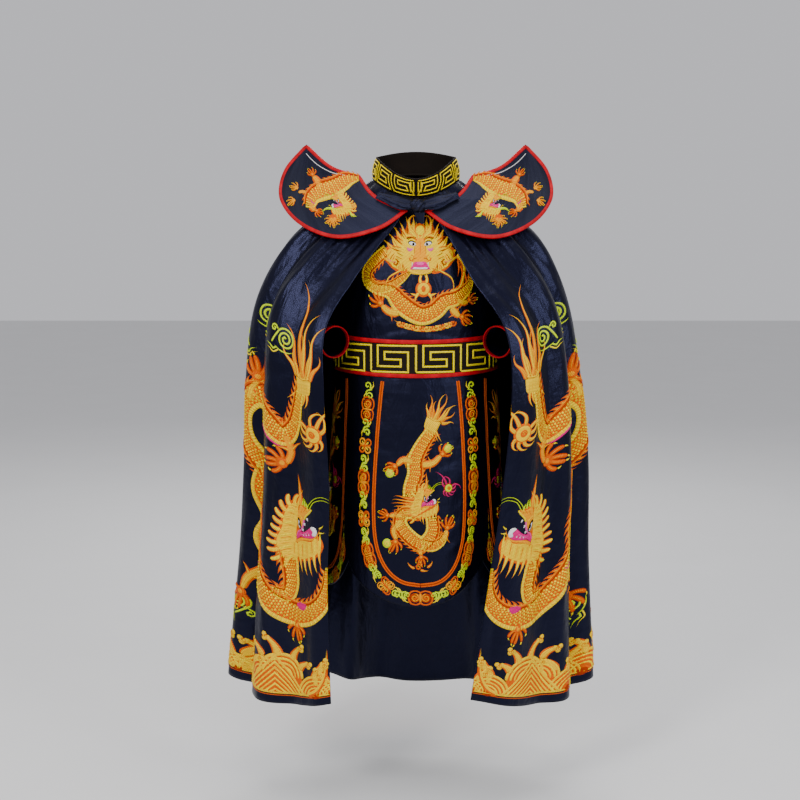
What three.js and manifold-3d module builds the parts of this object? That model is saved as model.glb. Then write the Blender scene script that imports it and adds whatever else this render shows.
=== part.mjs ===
// A Chinese opera stage robe as it hangs when it is worn, with nobody in it.
// A long satin cape falls from the neck over bent arms, with a stand collar, two stiff wings and a knotted tie.
// Under it are a bodice with sleeves, a wide belt and three round-ended skirt panels.
// Millimetres, +Z up, +X to the right as the front is seen. The origin is the middle of the neck's base.
import * as THREE from "three";
import Module from "manifold-3d";

const wasm = await Module();
wasm.setup();

// Cloth and seams
const SATIN = 1.6; // stage satin with its backing
const STIFFENED = 2.4; // collar and wings
const SEAM = 0.3;
const TRIM = 1.2; // bound edges

// Cape: each row is one level from the neck seam to the hem. front and back are its depths, and sag is how far
// the hem dips between the front and the sides.
const CAPE_RINGS = [
  { frontZ: 2.3, sideZ: 45.3, backZ: 58.3, front: 98.6, back: 91.6, sag: 0 },
  { frontZ: -62, sideZ: 0, backZ: 6, front: 124, back: 116, sag: 0 },
  { frontZ: -132, sideZ: -44, backZ: -84, front: 152, back: 140, sag: 0 },
  { frontZ: -216, sideZ: -118, backZ: -180, front: 196, back: 162, sag: 0 },
  { frontZ: -334, sideZ: -246, backZ: -320, front: 266, back: 186, sag: 0 },
  { frontZ: -474, sideZ: -400, backZ: -490, front: 284, back: 186, sag: 0 },
  { frontZ: -700, sideZ: -640, backZ: -745, front: 270, back: 196, sag: 8 },
  { frontZ: -940, sideZ: -900, backZ: -1020, front: 262, back: 208, sag: 24 },
  { frontZ: -1190, sideZ: -1196, backZ: -1320, front: 262, back: 222, sag: 46 },
];
// Half widths of the same levels on the right and left, and how far each front edge hangs from the middle
const CAPE_SIDES = [
  { halfR: 107.6, halfL: 107.6, edgeR: 14, edgeL: 18 },
  { halfR: 168, halfL: 168, edgeR: 44, edgeL: 52 },
  { halfR: 242, halfL: 240, edgeR: 92, edgeL: 92 },
  { halfR: 322, halfL: 316, edgeR: 148, edgeL: 136 },
  { halfR: 388, halfL: 366, edgeR: 212, edgeL: 208 },
  { halfR: 412, halfL: 392, edgeR: 216, edgeL: 226 },
  { halfR: 422, halfL: 416, edgeR: 206, edgeL: 206 },
  { halfR: 440, halfL: 426, edgeR: 212, edgeL: 170 },
  { halfR: 470, halfL: 446, edgeR: 206, edgeL: 132 },
];
// Folds of one half, as a share of the way from the front edge to the middle of the back, at the neck and hem.
// Width is a share too. Above and below are a fold's depths at the shoulder and hem, and hollows are negative.
const CAPE_FOLDS = {
  right: [
    { neck: 0.02, hem: 0.03, width: 0.03, above: 5, below: 15 },
    { neck: 0.085, hem: 0.1, width: 0.026, above: -7, below: -24 },
    { neck: 0.155, hem: 0.18, width: 0.038, above: 9, below: 26 },
    { neck: 0.225, hem: 0.265, width: 0.024, above: -8, below: -30 },
    { neck: 0.295, hem: 0.335, width: 0.036, above: 8, below: 22 },
    { neck: 0.37, hem: 0.41, width: 0.026, above: -6, below: -20 },
    { neck: 0.45, hem: 0.48, width: 0.036, above: 6, below: 20 },
    { neck: 0.53, hem: 0.55, width: 0.026, above: -6, below: -24 },
    { neck: 0.61, hem: 0.625, width: 0.036, above: 7, below: 24 },
    { neck: 0.69, hem: 0.7, width: 0.026, above: -6, below: -22 },
    { neck: 0.77, hem: 0.775, width: 0.036, above: 7, below: 26 },
    { neck: 0.85, hem: 0.85, width: 0.026, above: -6, below: -24 },
    { neck: 0.93, hem: 0.925, width: 0.034, above: 5, below: 20 },
  ],
  left: [
    { neck: 0.025, hem: 0.07, width: 0.042, above: 6, below: 22 },
    { neck: 0.09, hem: 0.16, width: 0.026, above: -7, below: -26 },
    { neck: 0.16, hem: 0.225, width: 0.032, above: 9, below: 22 },
    { neck: 0.235, hem: 0.29, width: 0.024, above: -9, below: -28 },
    { neck: 0.305, hem: 0.355, width: 0.034, above: 8, below: 22 },
    { neck: 0.375, hem: 0.425, width: 0.026, above: -6, below: -18 },
    { neck: 0.45, hem: 0.49, width: 0.036, above: 6, below: 22 },
    { neck: 0.53, hem: 0.56, width: 0.026, above: -6, below: -24 },
    { neck: 0.61, hem: 0.63, width: 0.036, above: 7, below: 22 },
    { neck: 0.69, hem: 0.705, width: 0.026, above: -6, below: -24 },
    { neck: 0.77, hem: 0.78, width: 0.036, above: 7, below: 22 },
    { neck: 0.85, hem: 0.855, width: 0.026, above: -6, below: -22 },
  ],
};
const CAPE_SEAM = 0.46; // share of the way round where the front panels meet the back one
const CAPE_LEVELS = 14;
const CAPE_FRONT_COLUMNS = 24;
const CAPE_BACK_COLUMNS = 42;

// Bodice: levels from the neckline to its hem under the belt
const BODICE_RINGS = [
  { frontZ: -14, sideZ: 27, backZ: 41, half: 82, front: 82, back: 74 },
  { frontZ: -64, sideZ: 11, backZ: -5, half: 142, front: 108, back: 102 },
  { frontZ: -118, sideZ: -34, backZ: -90, half: 188, front: 130, back: 118 },
  { frontZ: -190, sideZ: -160, backZ: -188, half: 193, front: 146, back: 124 },
  { frontZ: -266, sideZ: -262, backZ: -266, half: 202, front: 155, back: 126 },
  { frontZ: -340, sideZ: -336, backZ: -340, half: 205, front: 158, back: 128 },
  { frontZ: -394, sideZ: -386, backZ: -392, half: 203, front: 157, back: 128 },
];
const BODICE_LEVELS = 10;
const BODICE_COLUMNS = 22;

// Sleeves: centre line of the right one from armhole to cuff. The left elbow sits a little closer in.
const SLEEVE_LINE = [
  { x: 183, y: 0, z: -98, radius: 50 },
  { x: 212, y: 2, z: -108, radius: 51 },
  { x: 262, y: 10, z: -150, radius: 50 },
  { x: 300, y: 18, z: -228, radius: 48 },
  { x: 306, y: 12, z: -298, radius: 46 },
  { x: 276, y: -38, z: -330, radius: 43 },
  { x: 232, y: -102, z: -338, radius: 40 },
  { x: 194, y: -160, z: -343, radius: 38 },
];
const LEFT_ELBOW_IN = 14;
const CUFF_BAND = 12; // length of the binding along the sleeve
const SLEEVE_SIDES = 14;
const STEPS_PER_ROW = 2;
const ARMHOLE_ROWS = 2; // rows of the sleeve that an armhole follows
const ARMHOLE_REACH = 60; // how far its cut carries on into the body

// Belt and the surface that the skirt panels hang on
const BELT = { top: -338, bottom: -430, sideRise: 8, gap: 1, thick: 3, columns: 60, edge: 10 };
const SKIRT_RINGS = [
  { frontZ: -394.4, sideZ: -386.4, backZ: -392.4, half: 203, front: 157, back: 128 },
  { frontZ: -450, sideZ: -446, backZ: -450, half: 205, front: 160, back: 131 },
  { frontZ: -560, sideZ: -560, backZ: -560, half: 213, front: 170, back: 140 },
  { frontZ: -700, sideZ: -700, backZ: -700, half: 220, front: 182, back: 148 },
  { frontZ: -850, sideZ: -850, backZ: -850, half: 225, front: 191, back: 154 },
  { frontZ: -990, sideZ: -990, backZ: -990, half: 228, front: 197, back: 158 },
];
const PANEL_DROP = 596; // from the belt's middle to the lowest point of a panel
const PANEL_ROUND = 176; // the round end's height
const FRONT_PANEL = { middle: 0, spread: 53, lift: 0 };
const SIDE_PANEL = { middle: 91, spread: 48, lift: -2.9 };
const PANEL_WAVES = { count: 7, depth: 4, from: 80, to: 500 }; // the waves grow between these drops
const PANEL_REACH = 0.98; // how far the grid runs into the sides' tangents
const PANEL_COLUMNS = 14;
const PANEL_ROWS = 9;

// Stand collar: lower and upper edge
const COLLAR_RINGS = [
  { frontZ: 3, sideZ: 46, backZ: 59, half: 108, front: 99, back: 92 },
  { frontZ: 25, sideZ: 74, backZ: 88, half: 106, front: 118, back: 92 },
  { frontZ: 45, sideZ: 101, backZ: 116, half: 98, front: 134, back: 88 },
];
const COLLAR_COLUMNS = 40;

// Shoulder wings: outline as seen from the front, with x away from the neck
const WING = {
  tip: [275, 134],
  top: [[209, 79]],
  neck: [138, 56],
  inner: [[99, 8]],
  point: [20, -30],
  outer: [[330, 70], [338, 0], [285, -62], [191, -95], [88, -74]],
  blunt: 5,
  binding: 8,
};
const WING_LEAN = { start: -95.9, rise: 1.05, fall: 0.62, perX: -0.08, wrap: 0.001, curl: 0.003 };
const WING_SPAN = 330;
const WING_DEPTH = 170;
const WING_COLUMNS = 12;
const WING_ROWS = 6;

// Tie at the throat: each row is a point of a band's middle line, x from the knot and ahead of the wing by off
const TIE_LINE = [
  { x: 97, z: 7, off: 9 },
  { x: 62, z: -8, off: 9.5 },
  { x: 21.4, z: -17, off: 14 },
];
const TIE = {
  slope: 0.8,
  halfHeight: 11,
  halfDepth: 4,
  steps: 8,
  sides: 8,
};
const KNOT = { x: 4, y: -124, z: -17, halfX: 21, halfY: 13, halfZ: 17 };
const TAIL = { x: 8, y: -124, top: -34.3, length: 44, swing: 12, halfX: 11, halfY: 4 };

const BLACK = { color: 0x0b0c12, roughness: 0.4, metalness: 0 };
const FINISHES = {
  satin: BLACK,
  velvet: { color: 0x0d0a08, roughness: 0.7, metalness: 0 },
  red: { color: 0xd1182b, roughness: 0.5, metalness: 0 },
};

const RIGHT = -1;
const LEFT = 1;
const SHOULDER_RISE = 70; // upward share of the direction that counts as out
const capeLast = CAPE_RINGS.length - 1;

// Evenly spaced numbers from first to last
function spaced(first, last, cells) {
  return Array.from({ length: cells + 1 }, (_, i) => first + ((last - first) * i) / cells);
}

// One named column of a table at a fractional row, smooth through every row
function column(rows, name, at) {
  const last = rows.length - 1;
  const i = Math.min(Math.max(Math.floor(at), 0), last - 1);
  const f = at - i;
  const value = (k) => rows[Math.min(Math.max(k, 0), last)][name];
  const [a, b, c, d] = [value(i - 1), value(i), value(i + 1), value(i + 2)];
  return b + 0.5 * f * (c - a + f * (2 * a - 5 * b + 4 * c - d + f * (3 * (b - c) + d - a)));
}

// A point on a level ring: the angle is 0 at the front and 180 degrees at the back
function ringPoint(ring, side, angle) {
  const c = Math.cos(angle);
  const s = Math.sin(angle);
  const depth = c > 0 ? ring.front : ring.back;
  const endZ = c > 0 ? ring.frontZ : ring.backZ;
  return new THREE.Vector3(side * ring.half * s, -depth * c, endZ * c * c + ring.sideZ * s * s);
}

function ringAt(rows, at) {
  const names = ["frontZ", "sideZ", "backZ", "half", "front", "back"];
  return Object.fromEntries(names.map((name) => [name, column(rows, name, at)]));
}

// Outward normal of a surface by small steps, turned away from the garment's upright axis
function normalOf(surface, u, v, du, dv) {
  const across = surface(u + du, v).sub(surface(u - du, v));
  const down = surface(u, v + dv).sub(surface(u, v - dv));
  const normal = across.cross(down).normalize();
  const p = surface(u, v);
  const outward = new THREE.Vector3(p.x, p.y, SHOULDER_RISE);
  return normal.dot(outward) < 0 ? normal.negate() : normal;
}

// A closed wall over a grid of points. Each grid point has its outer and inner skin point.
function shell(outer, inner, across, down, closed) {
  const positions = [...outer, ...inner].flatMap((p) => [p.x, p.y, p.z]);
  const count = outer.length;
  const faces = [];
  const quad = (a, b, c, d) => faces.push(a, b, c, a, c, d);
  const cells = closed ? across : across - 1;
  for (let j = 0; j < down - 1; j++) {
    for (let i = 0; i < cells; i++) {
      const a = j * across + i;
      const b = j * across + ((i + 1) % across);
      quad(a, b, b + across, a + across);
      quad(count + a, count + a + across, count + b + across, count + b);
    }
  }
  for (let i = 0; i < cells; i++) {
    const k = (i + 1) % across;
    const low = (down - 1) * across;
    quad(i, count + i, count + k, k);
    quad(low + k, count + low + k, count + low + i, low + i);
  }
  if (!closed) {
    for (let j = 0; j < down - 1; j++) {
      const a = j * across;
      const b = a + across - 1;
      quad(a, a + across, count + a + across, count + a);
      quad(b, count + b, count + b + across, b + across);
    }
  }
  return facingOut(positions, faces);
}

// Geometry from points and triangles, turned so that its faces point out
function facingOut(positions, faces) {
  let volume = 0;
  const at = (k) => new THREE.Vector3().fromArray(positions, 3 * k);
  for (let i = 0; i < faces.length; i += 3) {
    volume += at(faces[i]).dot(at(faces[i + 1]).cross(at(faces[i + 2])));
  }
  if (volume < 0) faces.reverse();
  const geometry = new THREE.BufferGeometry();
  geometry.setAttribute("position", new THREE.Float32BufferAttribute(positions, 3));
  geometry.setIndex(faces);
  geometry.computeVertexNormals();
  return geometry;
}

// A wall that follows surface(u, v), with its outer skin lift mm out and its thickness inward
function wall(surface, { columns, rows, thick, lift = 0, closed = false, step = [1e-3, 1e-3] }) {
  const outer = [];
  const inner = [];
  for (const v of rows) {
    for (const u of columns) {
      const p = surface(u, v);
      const n = normalOf(surface, u, v, ...step);
      outer.push(p.clone().addScaledVector(n, lift));
      inner.push(p.clone().addScaledVector(n, lift - thick));
    }
  }
  return shell(outer, inner, columns.length, rows.length, closed);
}

// A closed rod through rings of points, capped at both ends
function rod(rings) {
  const sides = rings[0].length;
  const positions = rings.flat().flatMap((p) => [p.x, p.y, p.z]);
  const faces = [];
  for (let j = 0; j < rings.length - 1; j++) {
    for (let i = 0; i < sides; i++) {
      const a = j * sides + i;
      const b = j * sides + ((i + 1) % sides);
      faces.push(a, b, b + sides, a, b + sides, a + sides);
    }
  }
  const end = (rings.length - 1) * sides;
  for (let i = 1; i < sides - 1; i++) {
    faces.push(0, i + 1, i);
    faces.push(end, end + i, end + i + 1);
  }
  return facingOut(positions, faces);
}

// A rod of elliptical sections along a curve
function tube(curve, steps, sides, halfHeight, halfDepth, up) {
  const rings = spaced(0, 1, steps).map((f) => {
    const at = curve.getPoint(f);
    const tangent = curve.getTangent(f);
    const out = tangent.clone().cross(up).normalize();
    const high = out.clone().cross(tangent).normalize();
    return spaced(0, 2 * Math.PI, sides).slice(0, sides).map((a) => {
      const p = at.clone().addScaledVector(high, halfHeight * Math.cos(a));
      return p.addScaledVector(out, halfDepth * Math.sin(a));
    });
  });
  return rod(rings);
}

function solidOf(geometry) {
  const mesh = new wasm.Mesh({
    numProp: 3,
    vertProperties: new Float32Array(geometry.attributes.position.array),
    triVerts: new Uint32Array(geometry.index.array),
  });
  return new wasm.Manifold(mesh);
}

function geometryOf(solid) {
  const mesh = solid.getMesh();
  return facingOut(Array.from(mesh.vertProperties), Array.from(mesh.triVerts));
}

// Cape

function capeRing(side, level) {
  const ring = ringAtCape(level);
  ring.half = column(CAPE_SIDES, side === RIGHT ? "halfR" : "halfL", level);
  ring.edge = column(CAPE_SIDES, side === RIGHT ? "edgeR" : "edgeL", level);
  return ring;
}

function ringAtCape(level) {
  const names = ["frontZ", "sideZ", "backZ", "front", "back", "sag"];
  return Object.fromEntries(names.map((name) => [name, column(CAPE_RINGS, name, level)]));
}

// The cape without folds: share runs from the front edge, 0, to the middle of the back, 1
function capeForm(side, share, level) {
  const ring = capeRing(side, level);
  const first = Math.asin(ring.edge / ring.half);
  const angle = first + (Math.PI - first) * share;
  const p = ringPoint(ring, side, angle);
  if (angle < Math.PI / 2) p.z -= ring.sag * Math.sin(2 * angle) ** 2;
  return p;
}

// Depth of the folds at a place on the cape
function capeFold(side, share, level) {
  const fall = level / capeLast;
  const grow = THREE.MathUtils.smoothstep(level, 0, 1.2);
  const deep = THREE.MathUtils.smoothstep(fall, 0.2, 1);
  const folds = side === RIGHT ? CAPE_FOLDS.right : CAPE_FOLDS.left;
  return folds.reduce((sum, fold) => {
    const away = (share - THREE.MathUtils.lerp(fold.neck, fold.hem, fall)) / fold.width;
    const depth = THREE.MathUtils.lerp(fold.above, fold.below, deep);
    return sum + grow * depth * Math.exp(-away * away);
  }, 0);
}

// Half of the cape. Shares past 1 carry on round the back on the other side.
function capeHalf(side, share, level) {
  const form = (s, l) => capeForm(side, s, l);
  const normal = normalOf(form, share, level, 1e-3, 1e-3);
  return form(share, level).addScaledVector(normal, capeFold(side, share, level));
}

// The back runs from -1 (right seam side) through 0 (middle of the back) to 1
function capeBack(along, level) {
  const side = along < 0 ? RIGHT : LEFT;
  return capeHalf(side, 1 - Math.abs(along), level);
}

// Half the length round one level, so that a seam has the same gap all the way down
function halfRound(side, level) {
  const points = spaced(0, 1, CAPE_FRONT_COLUMNS).map((share) => capeForm(side, share, level));
  return points.slice(1).reduce((sum, p, i) => sum + p.distanceTo(points[i]), 0);
}

function capeFront(side) {
  const surface = (u, level) => {
    const end = CAPE_SEAM - SEAM / 2 / halfRound(side, level);
    return capeHalf(side, u * end, level);
  };
  return wall(surface, {
    columns: spaced(0, 1, CAPE_FRONT_COLUMNS),
    rows: spaced(0, capeLast, CAPE_LEVELS),
    thick: SATIN,
  });
}

function capeBackPanel() {
  const surface = (u, level) => {
    const side = u < 0 ? RIGHT : LEFT;
    const end = 1 - CAPE_SEAM - SEAM / 2 / halfRound(side, level);
    return capeBack(u * end, level);
  };
  return wall(surface, {
    columns: spaced(-1, 1, CAPE_BACK_COLUMNS),
    rows: spaced(0, capeLast, CAPE_LEVELS),
    thick: SATIN,
  });
}

// Bodice

function bodicePanel(front) {
  const seam = SEAM / 2 / BODICE_RINGS[0].half;
  const surface = (angle, level) => ringPoint(ringAt(BODICE_RINGS, level), LEFT, angle);
  const reach = Math.PI / 2 - seam;
  const middle = front ? 0 : Math.PI;
  const panel = wall(surface, {
    columns: spaced(middle - reach, middle + reach, BODICE_COLUMNS),
    rows: spaced(0, BODICE_RINGS.length - 1, BODICE_LEVELS),
    thick: SATIN,
  });
  const cut = [RIGHT, LEFT].reduce((solid, side) => solid.subtract(armhole(side)), solidOf(panel));
  return geometryOf(cut);
}

// The sleeve's root as a solid rod, a seam's gap wider than the sleeve and carried on into the body
function armhole(side) {
  const rings = spaced(0, ARMHOLE_ROWS, STEPS_PER_ROW * ARMHOLE_ROWS).map((v) => sleeveRing(side, v, SEAM));
  const inward = new THREE.Vector3(-side * ARMHOLE_REACH, 0, 0);
  return solidOf(rod([rings[0].map((p) => p.clone().add(inward)), ...rings]));
}

// The same geometry with only positions and shared points
function merged(geometry) {
  const source = geometry.toNonIndexed().attributes.position;
  const seen = new Map();
  const positions = [];
  const faces = [];
  for (let i = 0; i < source.count; i++) {
    const p = [source.getX(i), source.getY(i), source.getZ(i)];
    const key = p.map((c) => c.toFixed(4)).join();
    if (!seen.has(key)) {
      seen.set(key, positions.length / 3);
      positions.push(...p);
    }
    faces.push(seen.get(key));
  }
  return facingOut(positions, faces);
}

// One ring of a sleeve about its bent centre line, moved out by lift
function sleeveRing(side, v, lift) {
  const line = SLEEVE_LINE.map((row, i) => {
    const inward = side === LEFT && i >= 3 && i <= 5 ? LEFT_ELBOW_IN : 0;
    return { ...row, x: row.x - inward };
  });
  const last = line.length - 1;
  const centre = (at) => {
    const [x, y, z] = ["x", "y", "z"].map((name) => column(line, name, at));
    return new THREE.Vector3(side * x, y, z);
  };
  const before = centre(Math.max(v - 0.01, 0));
  const tangent = centre(Math.min(v + 0.01, last)).sub(before).normalize();
  const sideways = tangent.clone().cross(new THREE.Vector3(0, 1, 0.9)).normalize();
  const up = sideways.clone().cross(tangent);
  const radius = column(line, "radius", v) + lift;
  return spaced(0, 2 * Math.PI, SLEEVE_SIDES).slice(0, SLEEVE_SIDES).map((angle) => {
    const p = centre(v).addScaledVector(sideways, radius * Math.cos(angle));
    return p.addScaledVector(up, radius * Math.sin(angle));
  });
}

function sleeveWall(side, from, steps, thick, lift) {
  const levels = spaced(from, SLEEVE_LINE.length - 1, steps);
  const outer = levels.flatMap((v) => sleeveRing(side, v, lift));
  const inner = levels.flatMap((v) => sleeveRing(side, v, lift - thick));
  return shell(outer, inner, SLEEVE_SIDES, steps + 1, true);
}

// Belt

// A point at the waist: the bodice above its hem and the skirt panels below it
function waistPoint(angle, z) {
  const hem = BODICE_RINGS.length - 1;
  const above = BODICE_RINGS[hem - 1].frontZ;
  const share = (above - z) / (above - BODICE_RINGS[hem].frontZ);
  const ring = share < 1 ? ringAt(BODICE_RINGS, hem - 1 + share) : ringAt(SKIRT_RINGS, skirtLevel(z));
  const p = ringPoint(ring, LEFT, angle);
  p.z = z + BELT.sideRise * Math.sin(angle) ** 2;
  return p;
}

// The row of the skirt table that holds this height at the front
function skirtLevel(z) {
  const found = SKIRT_RINGS.findIndex((ring, k) => k > 0 && ring.frontZ < z);
  const i = found < 0 ? SKIRT_RINGS.length - 1 : found;
  const above = SKIRT_RINGS[i - 1].frontZ;
  return i - 1 + Math.min(Math.max((above - z) / (above - SKIRT_RINGS[i].frontZ), 0), 1);
}

function beltBand(top, bottom, lift, thick, rows) {
  return wall(waistPoint, {
    columns: spaced(0, 2 * Math.PI, BELT.columns).slice(0, BELT.columns),
    rows: spaced(top, bottom, rows),
    thick,
    lift: lift + thick,
    closed: true,
    step: [1e-3, 0.5],
  });
}

// Skirt panels

// A U-shaped panel: across runs from -1 to 1 and down from 0 at the belt to 1 at its round end
function panelSurface({ middle, spread }) {
  return (across, down) => {
    const wide = Math.sin((Math.PI / 2) * across);
    const angle = THREE.MathUtils.degToRad(middle + spread * wide);
    const round = PANEL_ROUND * (1 - Math.sqrt(Math.max(0, 1 - wide * wide)));
    const drop = (PANEL_DROP - round) * down;
    const z = SKIRT_RINGS[0].frontZ - drop;
    return skirtPoint(angle, z, drop);
  };
}

function skirtPoint(angle, z, drop) {
  const level = skirtLevel(z);
  const p = ringPoint(ringAt(SKIRT_RINGS, level), LEFT, angle);
  p.z = z + BELT.sideRise * Math.sin(angle) ** 2;
  const grow = THREE.MathUtils.smoothstep(drop, PANEL_WAVES.from, PANEL_WAVES.to);
  const wave = PANEL_WAVES.depth * Math.sin(PANEL_WAVES.count * angle) * grow;
  const out = new THREE.Vector3(p.x, p.y, 0).normalize();
  return p.addScaledVector(out, wave);
}

function skirtPanel(shape) {
  return wall(panelSurface(shape), {
    columns: spaced(-PANEL_REACH, PANEL_REACH, PANEL_COLUMNS),
    rows: spaced(0, 1, PANEL_ROWS),
    thick: SATIN,
    lift: shape.lift,
  });
}

// Wings

function wingCurve(points) {
  return new THREE.CatmullRomCurve3(points.map(([x, z]) => new THREE.Vector3(x, 0, z)), false, "centripetal");
}

const wingTop = wingCurve([WING.neck, ...WING.top, WING.tip]);
const wingInner = wingCurve([WING.neck, ...WING.inner, WING.point]);
const wingOuter = wingCurve([WING.point, ...[...WING.outer].reverse(), WING.tip]);

// A point of the wing: along runs from the neck edge to the tip, and down from the top edge to the outer one
function wingPoint(side, along, down) {
  const reach = 1 - WING.blunt / wingOuter.getLength();
  const top = wingTop.getPointAt(Math.min(Math.max(along, 0), 1) * reach);
  const outer = wingOuter.getPointAt(Math.min(Math.max(along, 0), 1) * reach);
  const flat = top.clone().lerp(outer, down);
  const inner = wingInner.getPointAt(Math.min(Math.max(down, 0), 1));
  const chord = wingTop.getPointAt(0).lerp(wingOuter.getPointAt(0), down);
  flat.addScaledVector(inner.sub(chord), (1 - along) ** 2);
  return new THREE.Vector3(side * flat.x, wingDepth(flat.x, flat.z), flat.z);
}

// How far back the wings' face lies, x mm from the middle and at height z
function wingDepth(x, z) {
  const { start, rise, fall, perX, wrap, curl } = WING_LEAN;
  const high = Math.max(z, 0);
  const low = Math.min(z, 0);
  return start + rise * high - curl * high ** 2 + fall * low + perX * x + wrap * x ** 2;
}

// Shares of the way across a wing, with a first and last cell as wide as the binding
function bound(cells, length) {
  const edge = WING.binding / length;
  return [0, ...spaced(edge, 1 - edge, cells - 2), 1];
}

function wingGrid() {
  return { along: bound(WING_COLUMNS, WING_SPAN), down: bound(WING_ROWS, WING_DEPTH) };
}

function wingSkins(side, thick, lift) {
  const { along, down } = wingGrid();
  const surface = (u, v) => wingPoint(side, u, v);
  const out = new THREE.Vector3(0, -1, 0.4);
  const skins = { outer: [], inner: [] };
  for (const v of down) {
    for (const u of along) {
      const e = 0.004;
      const nearU = [Math.max(u - e, 0), Math.min(u + e, 1)];
      const nearV = [Math.max(v - e, 0), Math.min(v + e, 1)];
      const across = surface(nearU[1], v).sub(surface(nearU[0], v));
      const normal = across.cross(surface(u, nearV[1]).sub(surface(u, nearV[0]))).normalize();
      if (normal.dot(out) < 0) normal.negate();
      const p = surface(u, v);
      skins.outer.push(p.clone().addScaledVector(normal, lift));
      skins.inner.push(p.clone().addScaledVector(normal, lift - thick));
    }
  }
  return { ...skins, across: along.length, down: down.length };
}

function wingPanel(side) {
  const { outer, inner, across, down } = wingSkins(side, STIFFENED, 0);
  return shell(outer, inner, across, down, false);
}

// The binding covers the outermost ring of cells, moved out from the wing's own points
function wingBinding(side) {
  const { outer, inner, across, down } = wingSkins(side, TRIM, SEAM + TRIM);
  const rim = bindingRim(across, down, 0);
  const inside = bindingRim(across, down, 1);
  const pick = (skin, ids) => ids.map(([i, j]) => skin[j * across + i]);
  return shell(
    [...pick(outer, rim), ...pick(outer, inside)],
    [...pick(inner, rim), ...pick(inner, inside)],
    rim.length,
    2,
    true,
  );
}

// Grid places round the rim, or one cell in from it, in step with each other
function bindingRim(across, down, inset) {
  const clampI = (i) => Math.min(Math.max(i, inset), across - 1 - inset);
  const clampJ = (j) => Math.min(Math.max(j, inset), down - 1 - inset);
  const ids = [];
  for (let i = 1; i < across - 1; i++) ids.push([i, 0]);
  for (let j = 1; j < down - 1; j++) ids.push([across - 1, j]);
  for (let i = across - 2; i > 0; i--) ids.push([i, down - 1]);
  for (let j = down - 2; j > 0; j--) ids.push([0, j]);
  return ids.map(([i, j]) => [clampI(i), clampJ(j)]);
}

// Stand collar, open at the front by a seam's width

function collarBand() {
  const surface = (angle, level) => ringPoint(ringAt(COLLAR_RINGS, level), LEFT, angle);
  const gap = SEAM / COLLAR_RINGS[0].front;
  return wall(surface, {
    columns: spaced(gap, 2 * Math.PI - gap, COLLAR_COLUMNS),
    rows: [0, 1, 2],
    thick: STIFFENED,
  });
}

// Tie

function tieBand(side) {
  const points = TIE_LINE.map(({ x, z, off }) => {
    return new THREE.Vector3(side * x + KNOT.x, wingDepth(x, z) - off, z);
  });
  const curve = new THREE.CatmullRomCurve3(points);
  const up = new THREE.Vector3(0, TIE.slope, 1).normalize();
  return tube(curve, TIE.steps, TIE.sides, TIE.halfHeight, TIE.halfDepth, up);
}

function knot() {
  const ball = new THREE.SphereGeometry(1, 12, 8);
  ball.scale(KNOT.halfX, KNOT.halfY, KNOT.halfZ);
  ball.translate(KNOT.x, KNOT.y, KNOT.z);
  return merged(ball);
}

function tail() {
  const top = new THREE.Vector3(TAIL.x, TAIL.y, TAIL.top);
  const end = new THREE.Vector3(TAIL.x + TAIL.swing, TAIL.y, TAIL.top - TAIL.length);
  const curve = new THREE.LineCurve3(top, end);
  return tube(curve, 4, TIE.sides, TAIL.halfX, TAIL.halfY, new THREE.Vector3(1, 0, 0));
}

// Assembly

function piece(name, geometry, finish) {
  const mesh = new THREE.Mesh(geometry, new THREE.MeshStandardMaterial(FINISHES[finish]));
  mesh.name = name;
  return mesh;
}

const [beforeCuff, cuff] = SLEEVE_LINE.slice(-2);
const cuffRow = Math.hypot(cuff.x - beforeCuff.x, cuff.y - beforeCuff.y, cuff.z - beforeCuff.z);
const cuffFrom = SLEEVE_LINE.length - 1 - CUFF_BAND / cuffRow;
const onBelt = BELT.gap + BELT.thick + SEAM;
const robe = new THREE.Group();
robe.add(
  piece("cape_back", capeBackPanel(), "satin"),
  piece("collar_stand", collarBand(), "velvet"),
  piece("bodice_front", bodicePanel(true), "satin"),
  piece("bodice_back", bodicePanel(false), "satin"),
  piece("belt", beltBand(BELT.top, BELT.bottom, BELT.gap, BELT.thick, 2), "velvet"),
  piece("belt_binding_top", beltBand(BELT.top, BELT.top - BELT.edge, onBelt, TRIM, 1), "red"),
  piece("belt_binding_low", beltBand(BELT.bottom + BELT.edge, BELT.bottom, onBelt, TRIM, 1), "red"),
  piece("skirt_front", skirtPanel(FRONT_PANEL), "satin"),
  piece("tie_knot", knot(), "satin"),
  piece("tie_tail", tail(), "satin"),
);
for (const [side, name] of [[RIGHT, "right"], [LEFT, "left"]]) {
  robe.add(
    piece(`cape_front_${name}`, capeFront(side), "satin"),
    piece(`sleeve_${name}`, sleeveWall(side, 0, STEPS_PER_ROW * (SLEEVE_LINE.length - 1), SATIN, 0), "satin"),
    piece(`cuff_binding_${name}`, sleeveWall(side, cuffFrom, 1, TRIM, SEAM + TRIM), "red"),
    piece(`skirt_${name}`, skirtPanel({ ...SIDE_PANEL, middle: side * SIDE_PANEL.middle }), "satin"),
    piece(`wing_${name}`, wingPanel(side), "satin"),
    piece(`wing_binding_${name}`, wingBinding(side), "red"),
    piece(`tie_band_${name}`, tieBand(side), "satin"),
  );
}

export default robe;
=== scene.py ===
"""A Chinese opera stage robe in black satin with its embroidery, made round the robe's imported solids.

Sizes are in millimetres, +Z up, with the front towards -Y, until a mesh is made in metres.
"""

import logging
import math
from dataclasses import dataclass, field
from enum import Enum
from typing import Callable, NamedTuple, Sequence

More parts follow.
